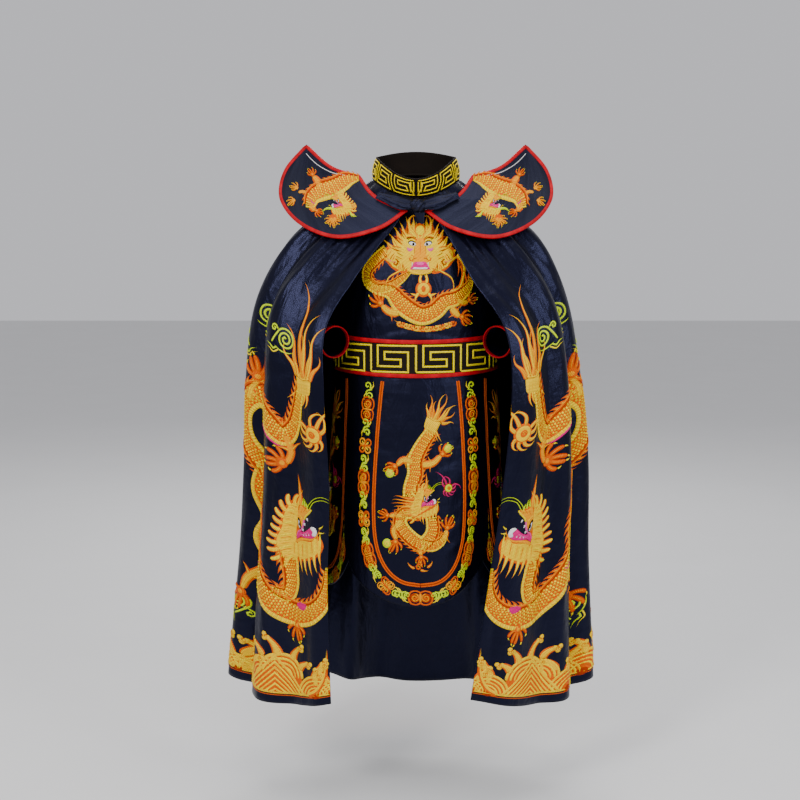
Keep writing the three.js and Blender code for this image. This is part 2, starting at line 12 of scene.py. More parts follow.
import bpy
import numpy as np
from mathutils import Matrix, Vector

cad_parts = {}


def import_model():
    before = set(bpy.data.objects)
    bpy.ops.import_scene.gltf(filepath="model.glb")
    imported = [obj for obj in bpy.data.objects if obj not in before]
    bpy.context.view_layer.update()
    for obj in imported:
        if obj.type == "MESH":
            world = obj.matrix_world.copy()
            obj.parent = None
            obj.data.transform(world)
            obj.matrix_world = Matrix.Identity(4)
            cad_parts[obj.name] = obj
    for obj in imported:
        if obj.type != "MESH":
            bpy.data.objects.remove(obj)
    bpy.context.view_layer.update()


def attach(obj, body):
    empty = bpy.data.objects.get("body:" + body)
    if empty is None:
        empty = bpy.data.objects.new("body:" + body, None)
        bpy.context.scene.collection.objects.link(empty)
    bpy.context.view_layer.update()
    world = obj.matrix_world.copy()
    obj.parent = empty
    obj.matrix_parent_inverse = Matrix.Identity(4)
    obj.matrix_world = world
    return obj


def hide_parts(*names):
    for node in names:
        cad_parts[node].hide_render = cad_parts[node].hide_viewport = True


LOG = logging.getLogger("robe")
Points = Sequence[tuple[float, float]]
Array = np.ndarray
Piece = bpy.types.Object
Finish = bpy.types.Material
MM = 0.001
OUT_OF_SHOULDER = 70.0


class Side(Enum):
    """The wearer's sides. The right one is on the left as the front is seen."""

    RIGHT = -1
    LEFT = 1

    @property
    def word(self) -> str:
        """The side's word in the pieces' names."""
        return self.name.lower()


class CapeRing(NamedTuple):
    """One level of the cape, from the neck seam to the hem, in millimetres."""

    front_z: float
    side_z: float
    back_z: float
    front: float
    back: float
    sag: float
    half_right: float
    half_left: float
    edge_right: float
    edge_left: float


class Fold(NamedTuple):
    """A fold of half the cape, placed by its shares of the way round at neck and hem."""

    neck: float
    hem: float
    width: float
    above: float
    below: float


class Ring(NamedTuple):
    """One level of a tube that goes round the body, in millimetres."""

    front_z: float
    side_z: float
    back_z: float
    half: float
    front: float
    back: float


class Crease(NamedTuple):
    """A soft trough, or a ridge where depth is positive, with its middle in the cloth's plan."""

    x: float
    y: float
    lean: float
    length: float
    width: float
    depth: float


def table(kind: Callable[..., NamedTuple], *rows: tuple[float, ...]) -> tuple[NamedTuple, ...]:
    """Plain rows with their columns named."""
    return tuple(kind(*row) for row in rows)


CAPE_RINGS = table(
    CapeRing,
    (2.3, 45.3, 58.3, 98.6, 91.6, 0, 107.6, 107.6, 14, 18),
    (-62, 0, 6, 124, 116, 0, 168, 168, 44, 52),
    (-132, -44, -84, 152, 140, 0, 242, 240, 92, 92),
    (-216, -118, -180, 196, 162, 0, 322, 316, 148, 136),
    (-334, -246, -320, 266, 186, 0, 388, 366, 212, 208),
    (-474, -400, -490, 284, 186, 0, 412, 392, 216, 226),
    (-700, -640, -745, 270, 196, 8, 422, 416, 206, 206),
    (-940, -900, -1020, 262, 208, 24, 440, 426, 212, 170),
    (-1190, -1196, -1320, 262, 222, 46, 470, 446, 206, 132),
)
CAPE_FOLDS = {
    Side.RIGHT: table(
        Fold,
        (0.02, 0.03, 0.03, 5, 9), (0.085, 0.1, 0.03, -7, -11), (0.155, 0.18, 0.038, 9, 18),
        (0.225, 0.265, 0.024, -8, -30), (0.295, 0.335, 0.036, 8, 22), (0.37, 0.41, 0.026, -6, -20),
        (0.45, 0.48, 0.036, 6, 20), (0.53, 0.55, 0.026, -6, -24), (0.61, 0.625, 0.036, 7, 24),
        (0.69, 0.7, 0.026, -6, -22), (0.77, 0.775, 0.036, 7, 26), (0.85, 0.85, 0.026, -6, -24),
        (0.93, 0.925, 0.034, 5, 20),
    ),
    Side.LEFT: table(
        Fold,
        (0.025, 0.07, 0.042, 6, 12), (0.09, 0.16, 0.03, -7, -12), (0.16, 0.225, 0.034, 9, 18),
        (0.235, 0.29, 0.024, -9, -28), (0.305, 0.355, 0.034, 8, 22), (0.375, 0.425, 0.026, -6, -18),
        (0.45, 0.49, 0.036, 6, 22), (0.53, 0.56, 0.026, -6, -24), (0.61, 0.63, 0.036, 7, 22),
        (0.69, 0.705, 0.026, -6, -24), (0.77, 0.78, 0.036, 7, 22), (0.85, 0.855, 0.026, -6, -22),
    ),
}
CAPE_SEAM = 0.46
CAPE_LAST = len(CAPE_RINGS) - 1
BODICE_RINGS = table(
    Ring,
    (-14, 27, 41, 82, 82, 74),
    (-64, 11, -5, 142, 108, 102),
    (-118, -34, -90, 188, 130, 118),
    (-190, -160, -188, 193, 146, 124),
    (-266, -262, -266, 202, 155, 126),
    (-340, -336, -340, 205, 158, 128),
    (-394, -386, -392, 203, 157, 128),
)
SKIRT_RINGS = table(
    Ring,
    (-394.4, -386.4, -392.4, 203, 157, 128),
    (-450, -446, -450, 205, 160, 131),
    (-560, -560, -560, 213, 170, 140),
    (-700, -700, -700, 220, 182, 148),
    (-850, -850, -850, 225, 191, 154),
    (-990, -990, -990, 228, 197, 158),
)
COLLAR_RINGS = table(
    Ring,
    (3, 46, 59, 108, 99, 92),
    (25, 74, 88, 106, 118, 92),
    (45, 101, 116, 98, 134, 88),
)

# Gathers below the collar and the soft creases of hanging satin
CAPE_CREASES = {
    Side.RIGHT: table(
        Crease,
        (30, -120, 4, 130, 7, -5.25), (58, -150, 9, 150, 8, 4.5), (92, -135, 12, 150, 7, -6),
        (128, -170, 15, 170, 9, 5.25), (165, -150, 17, 160, 8, -6), (205, -190, 19, 170, 10, 4.5),
        (246, -170, 20, 150, 8, -5.25), (60, -330, 10, 120, 11, -4), (150, -350, 16, 110, 13, 4),
        (210, -400, 12, 130, 12, -4.5), (300, -330, 20, 120, 12, -4), (330, -470, 8, 140, 14, 4),
        (20, -700, 2, 220, 9, -3), (160, -820, 3, 240, 12, -4), (215, -1180, -4, 130, 12, 4),
        (60, -1190, 2, 160, 12, -4), (290, -980, 4, 220, 14, -5), (110, -1010, 58, 60, 13, -2.5),
        (180, -560, 64, 70, 14, -2.5),
    ),
    Side.LEFT: table(
        Crease,
        (34, -130, 6, 130, 7, -5.25), (66, -160, 10, 150, 8, 5.25), (100, -140, 13, 140, 7, -6),
        (140, -180, 16, 170, 9, 5.25), (178, -160, 18, 150, 8, -6), (222, -200, 20, 160, 10, 4.5),
        (40, -340, 8, 140, 10, -4), (120, -380, 15, 130, 12, 4), (200, -360, 18, 120, 11, -4.5),
        (290, -350, 20, 120, 13, -4), (250, -520, 10, 150, 13, 4.5), (90, -640, 3, 190, 10, -4),
        (140, -900, -2, 210, 12, 4), (30, -1120, 2, 190, 11, -4), (230, -1060, 3, 200, 13, -4.5),
        (170, -1240, 2, 110, 12, 4), (80, -960, -60, 60, 12, -2.5), (300, -760, 4, 180, 14, 4),
    ),
}
BACK_CREASES = table(
    Crease,
    (-40, -140, -3, 130, 8, -4), (30, -170, 4, 150, 9, 3.5), (95, -150, 9, 140, 8, -4),
    (-110, -180, -10, 150, 9, 3.5), (-170, -160, -14, 150, 8, -4), (165, -190, 15, 160, 9, 3.5),
    (235, -170, 18, 140, 8, -4), (-240, -190, -18, 150, 9, 3.5), (-20, -430, 2, 210, 14, -5),
    (130, -520, 5, 220, 15, 5), (-160, -560, -4, 230, 15, -5), (280, -600, 8, 240, 14, -5),
    (-300, -640, -8, 240, 15, 5), (60, -960, 2, 260, 15, -5), (-90, -1010, -2, 240, 14, 5),
    (200, -1080, 4, 220, 14, -5), (-230, -1100, -3, 230, 15, -5), (360, -1050, 5, 210, 15, 4.5),
    (-390, -980, -6, 230, 15, -4.5),
)
BODICE_CREASES = table(
    Crease,
    (-120, -120, -38, 60, 10, -5.25), (122, -118, 36, 64, 10, -5.25), (-150, -250, -14, 80, 10, -3),
    (152, -246, 12, 84, 10, -3), (-70, -322, -74, 50, 8, -2.2), (60, -326, 78, 56, 8, -2.2),
    (8, -330, 86, 60, 7, 1.6), (-118, -306, -62, 44, 9, 2), (116, -300, 60, 40, 9, 2),
)
PANEL_CREASES = table(
    Crease,
    (-60, -424, 82, 46, 7, -2.2), (40, -432, -80, 52, 7, -2), (-20, -470, 84, 70, 9, 1.4),
    (-86, -600, 78, 30, 8, -2), (80, -640, -76, 34, 8, -1.8), (70, -800, -50, 44, 8, -2.4),
    (88, -850, -56, 40, 8, 1.8), (-30, -830, 70, 50, 9, -1.6),
)


def smooth(a: Array, b: Array, c: Array, d: Array, f: Array) -> Array:
    """Goes from b to c with the share f, on a smooth curve that also passes through a and d."""
    return b + 0.5 * f * (c - a + f * (2 * a - 5 * b + 4 * c - d + f * (3 * (b - c) + d - a)))


def column(rows: Sequence[NamedTuple], name: str, at: Array) -> Array:
    """Reads one named column of a table at fractional rows, smooth through every row.

    Args:
        rows: The table.
        name: The column.
        at: Where to read it, in rows.

    Returns:
        The values.
    """
    values = np.array([getattr(row, name) for row in rows], float)
    last = len(values) - 1
    i = np.clip(np.floor(at), 0, last - 1).astype(int)
    return smooth(*(values[np.clip(i + k, 0, last)] for k in (-1, 0, 1, 2)), at - i)


def columns_of(rows: Sequence[NamedTuple], at: Array) -> dict[str, Array]:
    """Every column of a table at fractional rows."""
    return {name: column(rows, name, at) for name in rows[0]._fields}


def normed(vectors: Array) -> Array:
    """Vectors made one long."""
    return vectors / np.maximum(np.linalg.norm(vectors, axis=-1, keepdims=True), 1e-9)


def aim(angle: float) -> tuple[float, float]:
    """The cosine and sine of an angle in degrees."""
    return math.cos(math.radians(angle)), math.sin(math.radians(angle))


def smoothstep(value: Array, low: float, high: float) -> Array:
    """Goes softly from 0 at low to 1 at high."""
    t = np.clip((value - low) / (high - low), 0, 1)
    return t * t * (3 - 2 * t)


def ring_points(ring: dict[str, Array], side: int, angle: Array) -> Array:
    """Points on level rings, where angle 0 is the front and pi the back.

    Args:
        ring: The rings' columns, each in the shape of angle.
        side: -1 mirrors the points to the wearer's right.
        angle: The way round, in radians.

    Returns:
        Points in millimetres, one row each.
    """
    c, s = np.cos(angle), np.sin(angle)
    depth = np.where(c > 0, ring["front"], ring["back"])
    end_z = np.where(c > 0, ring["front_z"], ring["back_z"])
    return np.stack([side * ring["half"] * s, -depth * c, end_z * c * c + ring["side_z"] * s * s], -1)


class Cloth:
    """A cloth's face over (u, v), with a flat plan in millimetres for what is sewn on it.

    The plan's x is the length round the cloth and its y the height along it, up positive.
    """

    u_range = (0.0, 1.0)
    v_range = (0.0, 1.0)
    grid = (40, 40)
    middle = 0.0
    creases: tuple[Crease, ...] = ()

    def __init__(self) -> None:
        """Measures the cloth."""
        self.measure()

    def form(self, u: Array, v: Array) -> Array:
        """The cloth without its folds."""
        raise NotImplementedError

    def height(self, u: Array, v: Array) -> Array:
        """The plan's y."""
        return self.form(u, v)[..., 2]

    def fold(self, u: Array, v: Array) -> Array:
        """How far the folds stand out."""
        return np.zeros_like(u)

    def measure(self) -> None:
        """Tabulates the cloth's points, normals and plan on its own grid."""
        columns, rows = self.grid
        us, vs = np.linspace(*self.u_range, columns + 1), np.linspace(*self.v_range, rows + 1)
        self.us, self.vs = np.meshgrid(us, vs)
        form = self.form(self.us, self.vs)
        steps = np.linalg.norm(np.diff(form, axis=1), axis=2)
        lengths = np.concatenate([np.zeros((rows + 1, 1)), np.cumsum(steps, 1)], 1)
        middle = np.array([np.interp(self.middle, us, row) for row in lengths])
        self.plan_x = lengths - middle[:, None]
        self.plan_y = self.height(self.us, self.vs)
        depth = self.fold(self.us, self.vs) + self.worn(self.plan_x, self.plan_y)
        self.points = form + self.normals_of(form) * depth[..., None]
        self.normals = self.normals_of(self.points)

    def worn(self, x: Array, y: Array) -> Array:
        """How far the soft creases stand out at places of the plan.

        Args:
            x: Places across.
            y: Places along.

        Returns:
            Heights in millimetres.
        """
        depth = np.zeros_like(x)
        for row in self.creases:
            c, s = aim(row.lean)
            along = ((y - row.y) * c - (x - row.x) * s) / row.length
            across = ((x - row.x) * c + (y - row.y) * s) / row.width
            depth = depth + row.depth * np.exp(-(along**2) - across**2)
        return depth

    def normals_of(self, points: Array) -> Array:
        """Outward unit normals of a grid of points."""
        n = normed(np.cross(np.gradient(points, axis=1), np.gradient(points, axis=0)))
        out = points[..., 0] * n[..., 0] + points[..., 1] * n[..., 1] + OUT_OF_SHOULDER * n[..., 2]
        return np.where(out[..., None] < 0, -n, n)

    def read(self, table: Array, i: Array, j: Array) -> Array:
        """Reads a table of the grid at fractional columns i and rows j.

        Args:
            table: A value for each point of the grid.
            i: Columns.
            j: Rows.

        Returns:
            The values there.
        """
        columns, rows = self.grid
        i0 = np.clip(np.floor(i), 0, columns - 1).astype(int)
        j0 = np.clip(np.floor(j), 0, rows - 1).astype(int)
        f, g = i - i0, j - j0
        if table.ndim == 3:
            f, g = f[..., None], g[..., None]
        top = table[j0, i0] * (1 - f) + table[j0, i0 + 1] * f
        low = table[j0 + 1, i0] * (1 - f) + table[j0 + 1, i0 + 1] * f
        return top * (1 - g) + low * g

    def locate(self, x: Array, y: Array) -> tuple[Array, Array]:
        """Finds fractional columns and rows of the grid at places of the plan.

        Args:
            x: Places across.
            y: Places along.

        Returns:
            The columns and the rows.
        """
        rounds, step = 14, 0.25
        columns, rows = self.grid
        i, j = np.full(np.shape(x), columns / 2.0), np.full(np.shape(x), rows / 2.0)
        for _ in range(rounds):
            here = self.read(self.plan_y, i, j)
            slope = (self.read(self.plan_y, i, np.minimum(j + step, rows)) - here) / step
            j = np.clip(j - (here - y) / np.where(slope > -1e-3, -1e-3, slope), 0, rows - 0.3)
            here = self.read(self.plan_x, i, j)
            slope = (self.read(self.plan_x, np.minimum(i + step, columns), j) - here) / step
            i = np.clip(i - (here - x) / np.where(np.abs(slope) < 1e-3, 1e-3, slope), 0, columns - 0.3)
        return i, j

    def place(self, x: Array, y: Array, lift: Array) -> Array:
        """Lays places of the plan on the cloth, lift millimetres above its face."""
        i, j = self.locate(x, y)
        normal = normed(self.read(self.normals, i, j))
        return self.read(self.points, i, j) + normal * lift[..., None]


def cape_form(side: Side, share: Array, level: Array) -> Array:
    """Half of the cape without folds, from its front edge, 0, to the middle of the back, 1.

    Args:
        side: Which side of the wearer.
        share: Shares of the way to the back.
        level: Places down, in rows of the rings.

    Returns:
        Points in millimetres.
    """
    names = ("front_z", "side_z", "back_z", "front", "back", "sag")
    ring = {name: column(CAPE_RINGS, name, level) for name in names}
    ring["half"] = column(CAPE_RINGS, f"half_{side.word}", level)
    first = np.arcsin(column(CAPE_RINGS, f"edge_{side.word}", level) / ring["half"])
    angle = first + (np.pi - first) * share
    p = ring_points(ring, side.value, angle)
    p[..., 2] -= np.where(angle < np.pi / 2, ring["sag"] * np.sin(2 * angle) ** 2, 0)
    return p


def cape_fold(side: Side, share: Array, level: Array) -> Array:
    """Ridges and hollows of half the cape, which deepen towards the hem.

    Args:
        side: Which side of the wearer.
        share: Shares of the way to the back.
        level: Places down, in rows of the rings.

    Returns:
        How far the cloth stands out, in millimetres.
    """
    fall = level / CAPE_LAST
    grow = smoothstep(level, 0, 1.2)
    deep = smoothstep(fall, 0.2, 1)
    depth = np.zeros_like(share)
    for row in CAPE_FOLDS[side]:
        away = (share - (row.neck + (row.hem - row.neck) * fall)) / row.width
        depth += grow * (row.above + (row.below - row.above) * deep) * np.exp(-(away**2))
    return depth


def cape_height(level: Array) -> Array:
    """How far down the cape's cloth a level lies, measured near the front edge."""
    levels = np.linspace(0, CAPE_LAST, 400)
    line = cape_form(Side.RIGHT, np.full_like(levels, 0.12), levels)
    return -np.interp(level, levels, lengths_of(line))


class CapeFrontCloth(Cloth):
    """One front of the cape. u is the share of the way from the front edge to the middle of the back."""

    v_range = (0.0, float(CAPE_LAST))
    grid = (110, 150)

    def __init__(self, side: Side) -> None:
        """Measures the front on one side.

        Args:
            side: Which side of the wearer.
        """
        self.side = side
        self.u_range = (0.0, CAPE_SEAM + 0.004)
        self.creases = CAPE_CREASES[side]
        self.measure()

    def form(self, u: Array, v: Array) -> Array:
        """The front without its folds."""
        return cape_form(self.side, u, v)

    def height(self, u: Array, v: Array) -> Array:
        """Down the cloth from the neck seam."""
        return cape_height(v)

    def fold(self, u: Array, v: Array) -> Array:
        """The hanging folds, with the edge tucked in under the back's."""
        return cape_fold(self.side, u, v) - 2.4 * smoothstep(u, CAPE_SEAM - 0.012, CAPE_SEAM)

    def worn(self, x: Array, y: Array) -> Array:
        """The soft creases, which fade out at the seam."""
        return super().worn(x, y) * smoothstep(-self.us, -CAPE_SEAM, 0.06 - CAPE_SEAM)


class CapeBackCloth(Cloth):
    """The back of the cape. u runs from the right seam, below 0, to the left one."""

    u_range = (CAPE_SEAM - 0.9998, 0.9998 - CAPE_SEAM)
    v_range = (0.0, float(CAPE_LAST))
    grid = (210, 140)
    creases = BACK_CREASES

    def form(self, u: Array, v: Array) -> Array:
        """The back without its folds."""
        right, left = (cape_form(side, 1 - np.abs(u), v) for side in Side)
        return np.where(u[..., None] < 0, right, left)

    def height(self, u: Array, v: Array) -> Array:
        """Down the cloth from the neck seam."""
        return cape_height(v)

    def fold(self, u: Array, v: Array) -> Array:
        """The hanging folds."""
        right, left = (cape_fold(side, 1 - np.abs(u), v) for side in Side)
        return np.where(u < 0, right, left)

    def worn(self, x: Array, y: Array) -> Array:
        """The soft creases, which fade out at the seams."""
        reach = self.u_range[1]
        return super().worn(x, y) * smoothstep(-np.abs(self.us), -reach, 0.05 - reach)


class BodiceCloth(Cloth):
    """The front or back of the bodice. u is the angle from its own middle."""

    u_range = (-math.pi / 2 + 0.002, math.pi / 2 - 0.002)
    v_range = (0.0, float(len(BODICE_RINGS) - 1))
    grid = (96, 84)

    def __init__(self, front: bool) -> None:
        """Measures the front or the back."""
        self.front = front
        self.creases = BODICE_CREASES if front else ()
        self.measure()

    def form(self, u: Array, v: Array) -> Array:
        """The bodice round the chest."""
        ring = columns_of(BODICE_RINGS, v)
        return ring_points(ring, 1, u if self.front else np.pi - u)


def skirt_ring(z: Array) -> dict[str, Array]:
    """The columns of the skirt's rings at heights."""
    tops = np.array([row.front_z for row in SKIRT_RINGS])
    level = np.interp(-z, -tops, np.arange(len(tops)))
    return columns_of(SKIRT_RINGS, level)


@dataclass(frozen=True)
class PanelCut:
    """The cut of a skirt panel: its middle and half spread in degrees, and how far it lies out."""

    middle: float
    spread: float
    lift: float


BELT_TOP, BELT_BOTTOM = -338.0, -430.0
BELT_FACE = 4.0
SIDE_RISE = 8.0
PANEL_DROP, PANEL_ROUND, PANEL_REACH = 596.0, 176.0, 0.98


class PanelCloth(Cloth):
    """A round-ended skirt panel. u runs across from -1 to 1, and v down to the round end."""

    u_range = (-PANEL_REACH, PANEL_REACH)
    grid = (64, 76)

    def __init__(self, cut: PanelCut, creases: tuple[Crease, ...]) -> None:
        """Measures the panel of one cut."""
        self.cut = cut
        self.creases = creases
        self.measure()

    def form(self, u: Array, v: Array) -> Array:
        """The panel with its shallow waves.

        Args:
            u: Places across the cloth.
            v: Places down the cloth.

        Returns:
            Points in millimetres.
        """
        wide = np.sin(np.pi / 2 * u)
        angle = np.radians(self.cut.middle + self.cut.spread * wide)
        drop = (PANEL_DROP - PANEL_ROUND * (1 - np.sqrt(np.maximum(0, 1 - wide**2)))) * v
        z = SKIRT_RINGS[0].front_z - drop
        p = ring_points(skirt_ring(z), 1, angle)
        p[..., 2] = z + SIDE_RISE * np.sin(angle) ** 2
        wave = 4 * np.sin(7 * angle) * smoothstep(drop, 80, 500) + self.cut.lift
        out = normed(p[..., :2])
        p[..., :2] += out * wave[..., None]
        return p


class BeltCloth(Cloth):
    """The belt's outer face all the way round. u is the angle from the middle of the front."""

    u_range = (-math.pi, math.pi)
    v_range = (0.0, 1.0)
    grid = (200, 14)

    def form(self, u: Array, v: Array) -> Array:
        """The waist's surface, a belt's thickness out and a little crowned.

        Args:
            u: Places across the cloth.
            v: Places down the cloth.

        Returns:
            Points in millimetres.
        """
        z = BELT_TOP + (BELT_BOTTOM - BELT_TOP) * v
        above, hem = BODICE_RINGS[-2].front_z, BODICE_RINGS[-1].front_z
        share = np.clip((above - z) / (above - hem), 0, 1)
        bodice = columns_of(BODICE_RINGS, len(BODICE_RINGS) - 2 + share)
        skirt = skirt_ring(z)
        ring = {name: np.where(z > hem, bodice[name], skirt[name]) for name in Ring._fields}
        p = ring_points(ring, 1, u)
        p[..., 2] = z + SIDE_RISE * np.sin(u) ** 2
        out = normed(p[..., :2])
        p[..., :2] += out * (BELT_FACE + 0.6 * np.sin(np.pi * v))[..., None]
        return p


COLLAR_HEIGHT = 55.0


class CollarCloth(Cloth):
    """The stand collar. u is the angle from the middle of the back, -pi and pi at the open front."""

    u_range = (-math.pi + 0.004, math.pi - 0.004)
    v_range = (0.0, len(COLLAR_RINGS) - 0.65)
    grid = (150, 22)

    def form(self, u: Array, v: Array) -> Array:
        """The collar's outer face, from its upper edge down.

        Args:
            u: Places across the cloth.
            v: Places down the cloth.

        Returns:
            Points in millimetres.
        """
        foot = len(COLLAR_RINGS) - 1
        ring = columns_of(COLLAR_RINGS, foot - v)
        tuck = 2.8 * smoothstep(v, foot - 0.06, foot + 0.06)
        for name in ("half", "front", "back"):
            ring[name] = ring[name] - tuck
        return ring_points(ring, 1, np.pi - u)

    def height(self, u: Array, v: Array) -> Array:
        """Up the cloth from the neck seam, below which it is tucked in."""
        return COLLAR_HEIGHT * (1 - v / (len(COLLAR_RINGS) - 1))


WING_BINDING = 8.0
WING_THICK = 2.4
WING_NECK, WING_TIP, WING_POINT = (138, 56), (275, 134), (20, -30)
WING_TOP = (WING_NECK, (209, 79), WING_TIP)
WING_INNER = (WING_NECK, (99, 8), WING_POINT)
WING_OUTER = (WING_POINT, (88, -74), (191, -95), (285, -62), (338, 0), (330, 70), WING_TIP)


def wing_depth(x: Array, z: Array) -> Array:
    """How far back the wings' face lies, x from the middle and at height z."""
    high, low = np.maximum(z, 0), np.minimum(z, 0)
    return -95.9 + 1.05 * high - 0.003 * high**2 + 0.62 * low - 0.08 * x + 0.001 * x**2


class WingCloth(Cloth):
    """A shoulder wing. u runs from the neck edge to the tip, and v from the top edge to the outer one."""

    v_range = (0.0, 1.0)
    grid = (80, 44)

    def __init__(self, side: Side) -> None:
        """Measures the wing on one side."""
        self.side = side
        self.top, self.inner, self.outer = map(self.evenly, (WING_TOP, WING_INNER, WING_OUTER))
        self.measure()

    @staticmethod
    def evenly(points: Points) -> Callable[[Array], Array]:
        """A smooth line through points, read at shares of its length."""
        line = trace(points)
        at = lengths_of(line)
        return lambda share: sample(line, at / at[-1], share)

    def form(self, u: Array, v: Array) -> Array:
        """The wing's face, a little hollow as stiffened cloth hangs.

        Args:
            u: Places across the cloth.
            v: Places down the cloth.

        Returns:
            Points in millimetres.
        """
        reach = 0.985
        top, outer = self.top(u * reach), self.outer(u * reach)
        flat = top + (outer - top) * v[..., None]
        chord = self.top(np.zeros_like(v)) * (1 - v[..., None]) + self.outer(np.zeros_like(v)) * v[..., None]
        flat += (self.inner(v) - chord) * ((1 - u) ** 2)[..., None]
        return self.stand(flat[..., 0], flat[..., 1])

    def stand(self, x: Array, z: Array) -> Array:
        """Points of the wing's face over its flat outline."""
        return np.stack([self.side.value * x, wing_depth(x, z), z], -1)

    def place(self, x: Array, y: Array, lift: Array) -> Array:
        """Lays places of the flat outline on the wing, lift millimetres above its face.

        Args:
            x: Places across.
            y: Places along.
            lift: How far above the face.

        Returns:
            Points in millimetres.
        """
        e = 0.5
        slope_x = (wing_depth(x + e, y) - wing_depth(x - e, y)) / (2 * e)
        slope_z = (wing_depth(x, y + e) - wing_depth(x, y - e)) / (2 * e)
        normal = normed(np.stack([self.side.value * slope_x, -np.ones_like(x), slope_z], -1))
        return self.stand(x, y) + normal * np.asarray(lift)[..., None]

    def outline(self) -> Array:
        """The wing's flat outline, once round.

        Returns:
            Its points, one row each.
        """
        shares = np.linspace(0, 1, 60)[:-1]
        inner = self.inner(np.linspace(1, 0, 26)[:-1])
        tip = self.outer(np.array([0.985]))
        outer = self.outer(np.linspace(0, 0.985, 110)[:-1][::-1])
        return np.concatenate([self.top(shares * 0.985), tip, outer, inner])


class SleeveRow(NamedTuple):
    """One row of a sleeve's middle line and radius, in millimetres, with x away from the body."""

    x: float
    y: float
    z: float
    radius: float


SLEEVE_LINE = table(
    SleeveRow,
    (183, 0, -98, 50),
    (212, 2, -108, 51),
    (262, 10, -150, 50),
    (300, 18, -228, 48),
    (306, 12, -298, 46),
    (276, -38, -330, 43),
    (232, -102, -338, 40),
    (194, -160, -343, 38),
)
LEFT_ELBOW_IN = 14


class SleeveCloth(Cloth):
    """A sleeve from its armhole to the cuff. u is the angle round it and v the row of its middle line."""

    u_range = (0.0, 2 * math.pi)
    v_range = (0.0, float(len(SLEEVE_LINE) - 1))
    grid = (56, 110)

    def __init__(self, side: Side) -> None:
        """Measures the sleeve on one side."""
        self.side = side
        self.measure()

    def centre(self, v: Array) -> Array:
        """The middle line.

        Args:
            v: Places down the cloth.

        Returns:
            Points in millimetres.
        """
        inward = [
            LEFT_ELBOW_IN if self.side is Side.LEFT and 3 <= i <= 5 else 0
            for i in range(len(SLEEVE_LINE))
        ]
        rows = [row._replace(x=row.x - shift) for row, shift in zip(SLEEVE_LINE, inward)]
        return np.stack(
            [column(rows, "x", v) * self.side.value, column(rows, "y", v), column(rows, "z", v)], -1
        )

    def frame(self, v: Array) -> tuple[Array, Array]:
        """The two directions across the sleeve.

        Args:
            v: Places down the cloth.

        Returns:
            Two directions at each place.
        """
        last = self.v_range[1]
        tangent = normed(self.centre(np.minimum(v + 0.01, last)) - self.centre(np.maximum(v - 0.01, 0)))
        sideways = normed(np.cross(tangent, np.array([0, 1, 0.9])))
        return sideways, np.cross(sideways, tangent)

    def form(self, u: Array, v: Array) -> Array:
        """The tube, with crosswise folds that are deepest inside the elbow.

        Args:
            u: Places across the cloth.
            v: Places down the cloth.

        Returns:
            Points in millimetres.
        """
        bend = np.exp(-(((v - 4.6) / 1.3) ** 2))
        ends = smoothstep(v, 0.6, 2) * smoothstep(-v, -7, -6.2)
        folds = 1.6 * np.sin(9 * v + 2.2 * np.sin(u)) * (0.35 + bend) * ends
        return self.about(v, u, folds - 1.2 * bend)

    def about(self, v: Array, angle: Array, out: float | Array) -> Array:
        """Points round the middle line, out millimetres from the sleeve's own radius.

        Args:
            v: Places down the cloth.
            angle: The way round, in radians.
            out: How far outside.

        Returns:
            Points in millimetres.
        """
        sideways, up = self.frame(v)
        radius = column(SLEEVE_LINE, "radius", v) + out
        across = sideways * (radius * np.cos(angle))[..., None]
        return self.centre(v) + across + up * (radius * np.sin(angle))[..., None]

    def normals_of(self, points: Array) -> Array:
        """Directions away from the middle line."""
        return normed(points - self.centre(self.vs))


def trace(points: Points, sharp: bool = False) -> Array:
    """A line through points of the plan.

    Args:
        points: The points, in order.
        sharp: Keeps the corners, where a smooth curve would round them.

    Returns:
        Close points of the line, in order.
    """
    p = np.asarray(points, float)
    if sharp or len(p) < 3:
        return p
    rows = np.vstack([2 * p[0] - p[1], p, 2 * p[-1] - p[-2]])
    f = np.linspace(0, 1, 9)[:-1, None]
    spans = [smooth(*near, f) for near in zip(rows, rows[1:], rows[2:], rows[3:])]
    return np.vstack([*spans, p[-1:]])


def lengths_of(line: Array) -> Array:
    """The length along a line at each of its points."""
    return np.concatenate([[0.0], np.cumsum(np.linalg.norm(np.diff(line, axis=0), axis=1))])


def sample(line: Array, at: Array, places: Array) -> Array:
    """Points of a line at places along it, where at tells how far along each of its own points lies."""
    return np.stack([np.interp(places, at, line[:, k]) for k in (0, 1)], -1)


def spread(values: float | Sequence[float], count: int) -> Array:
    """One value, or one for each control point, spread over the close points of a line."""
    known = np.atleast_1d(np.asarray(values, float))
    return np.interp(np.linspace(0, 1, count), np.linspace(0, 1, len(known)), known)


def beside(line: Array, away: Array) -> Array:
    """A line that runs beside another, away to its left."""
    ways = normed(np.gradient(line, axis=0))
    return line + np.stack([-ways[:, 1], ways[:, 0]], -1) * away[:, None]


def curl(
    x: float, y: float, start: float, end: float, first: float, turns: float
) -> list[tuple[float, float]]:
    """Points of a spiral about (x, y), from radius start at angle first, in degrees, to radius end.

    Args:
        x: Its middle.
        y: Its middle.
        start: The first radius.
        end: The last radius.
        first: Its first angle, in degrees.
        turns: How often it goes round.

    Returns:
        The points, in order.
    """
    count = max(5, int(abs(turns) * 11))
    shares = [k / count for k in range(count + 1)]
    at = [(start + (end - start) * s, math.radians(first + 360 * turns * s)) for s in shares]
    return [(x + r * math.cos(a), y + r * math.sin(a)) for r, a in at]


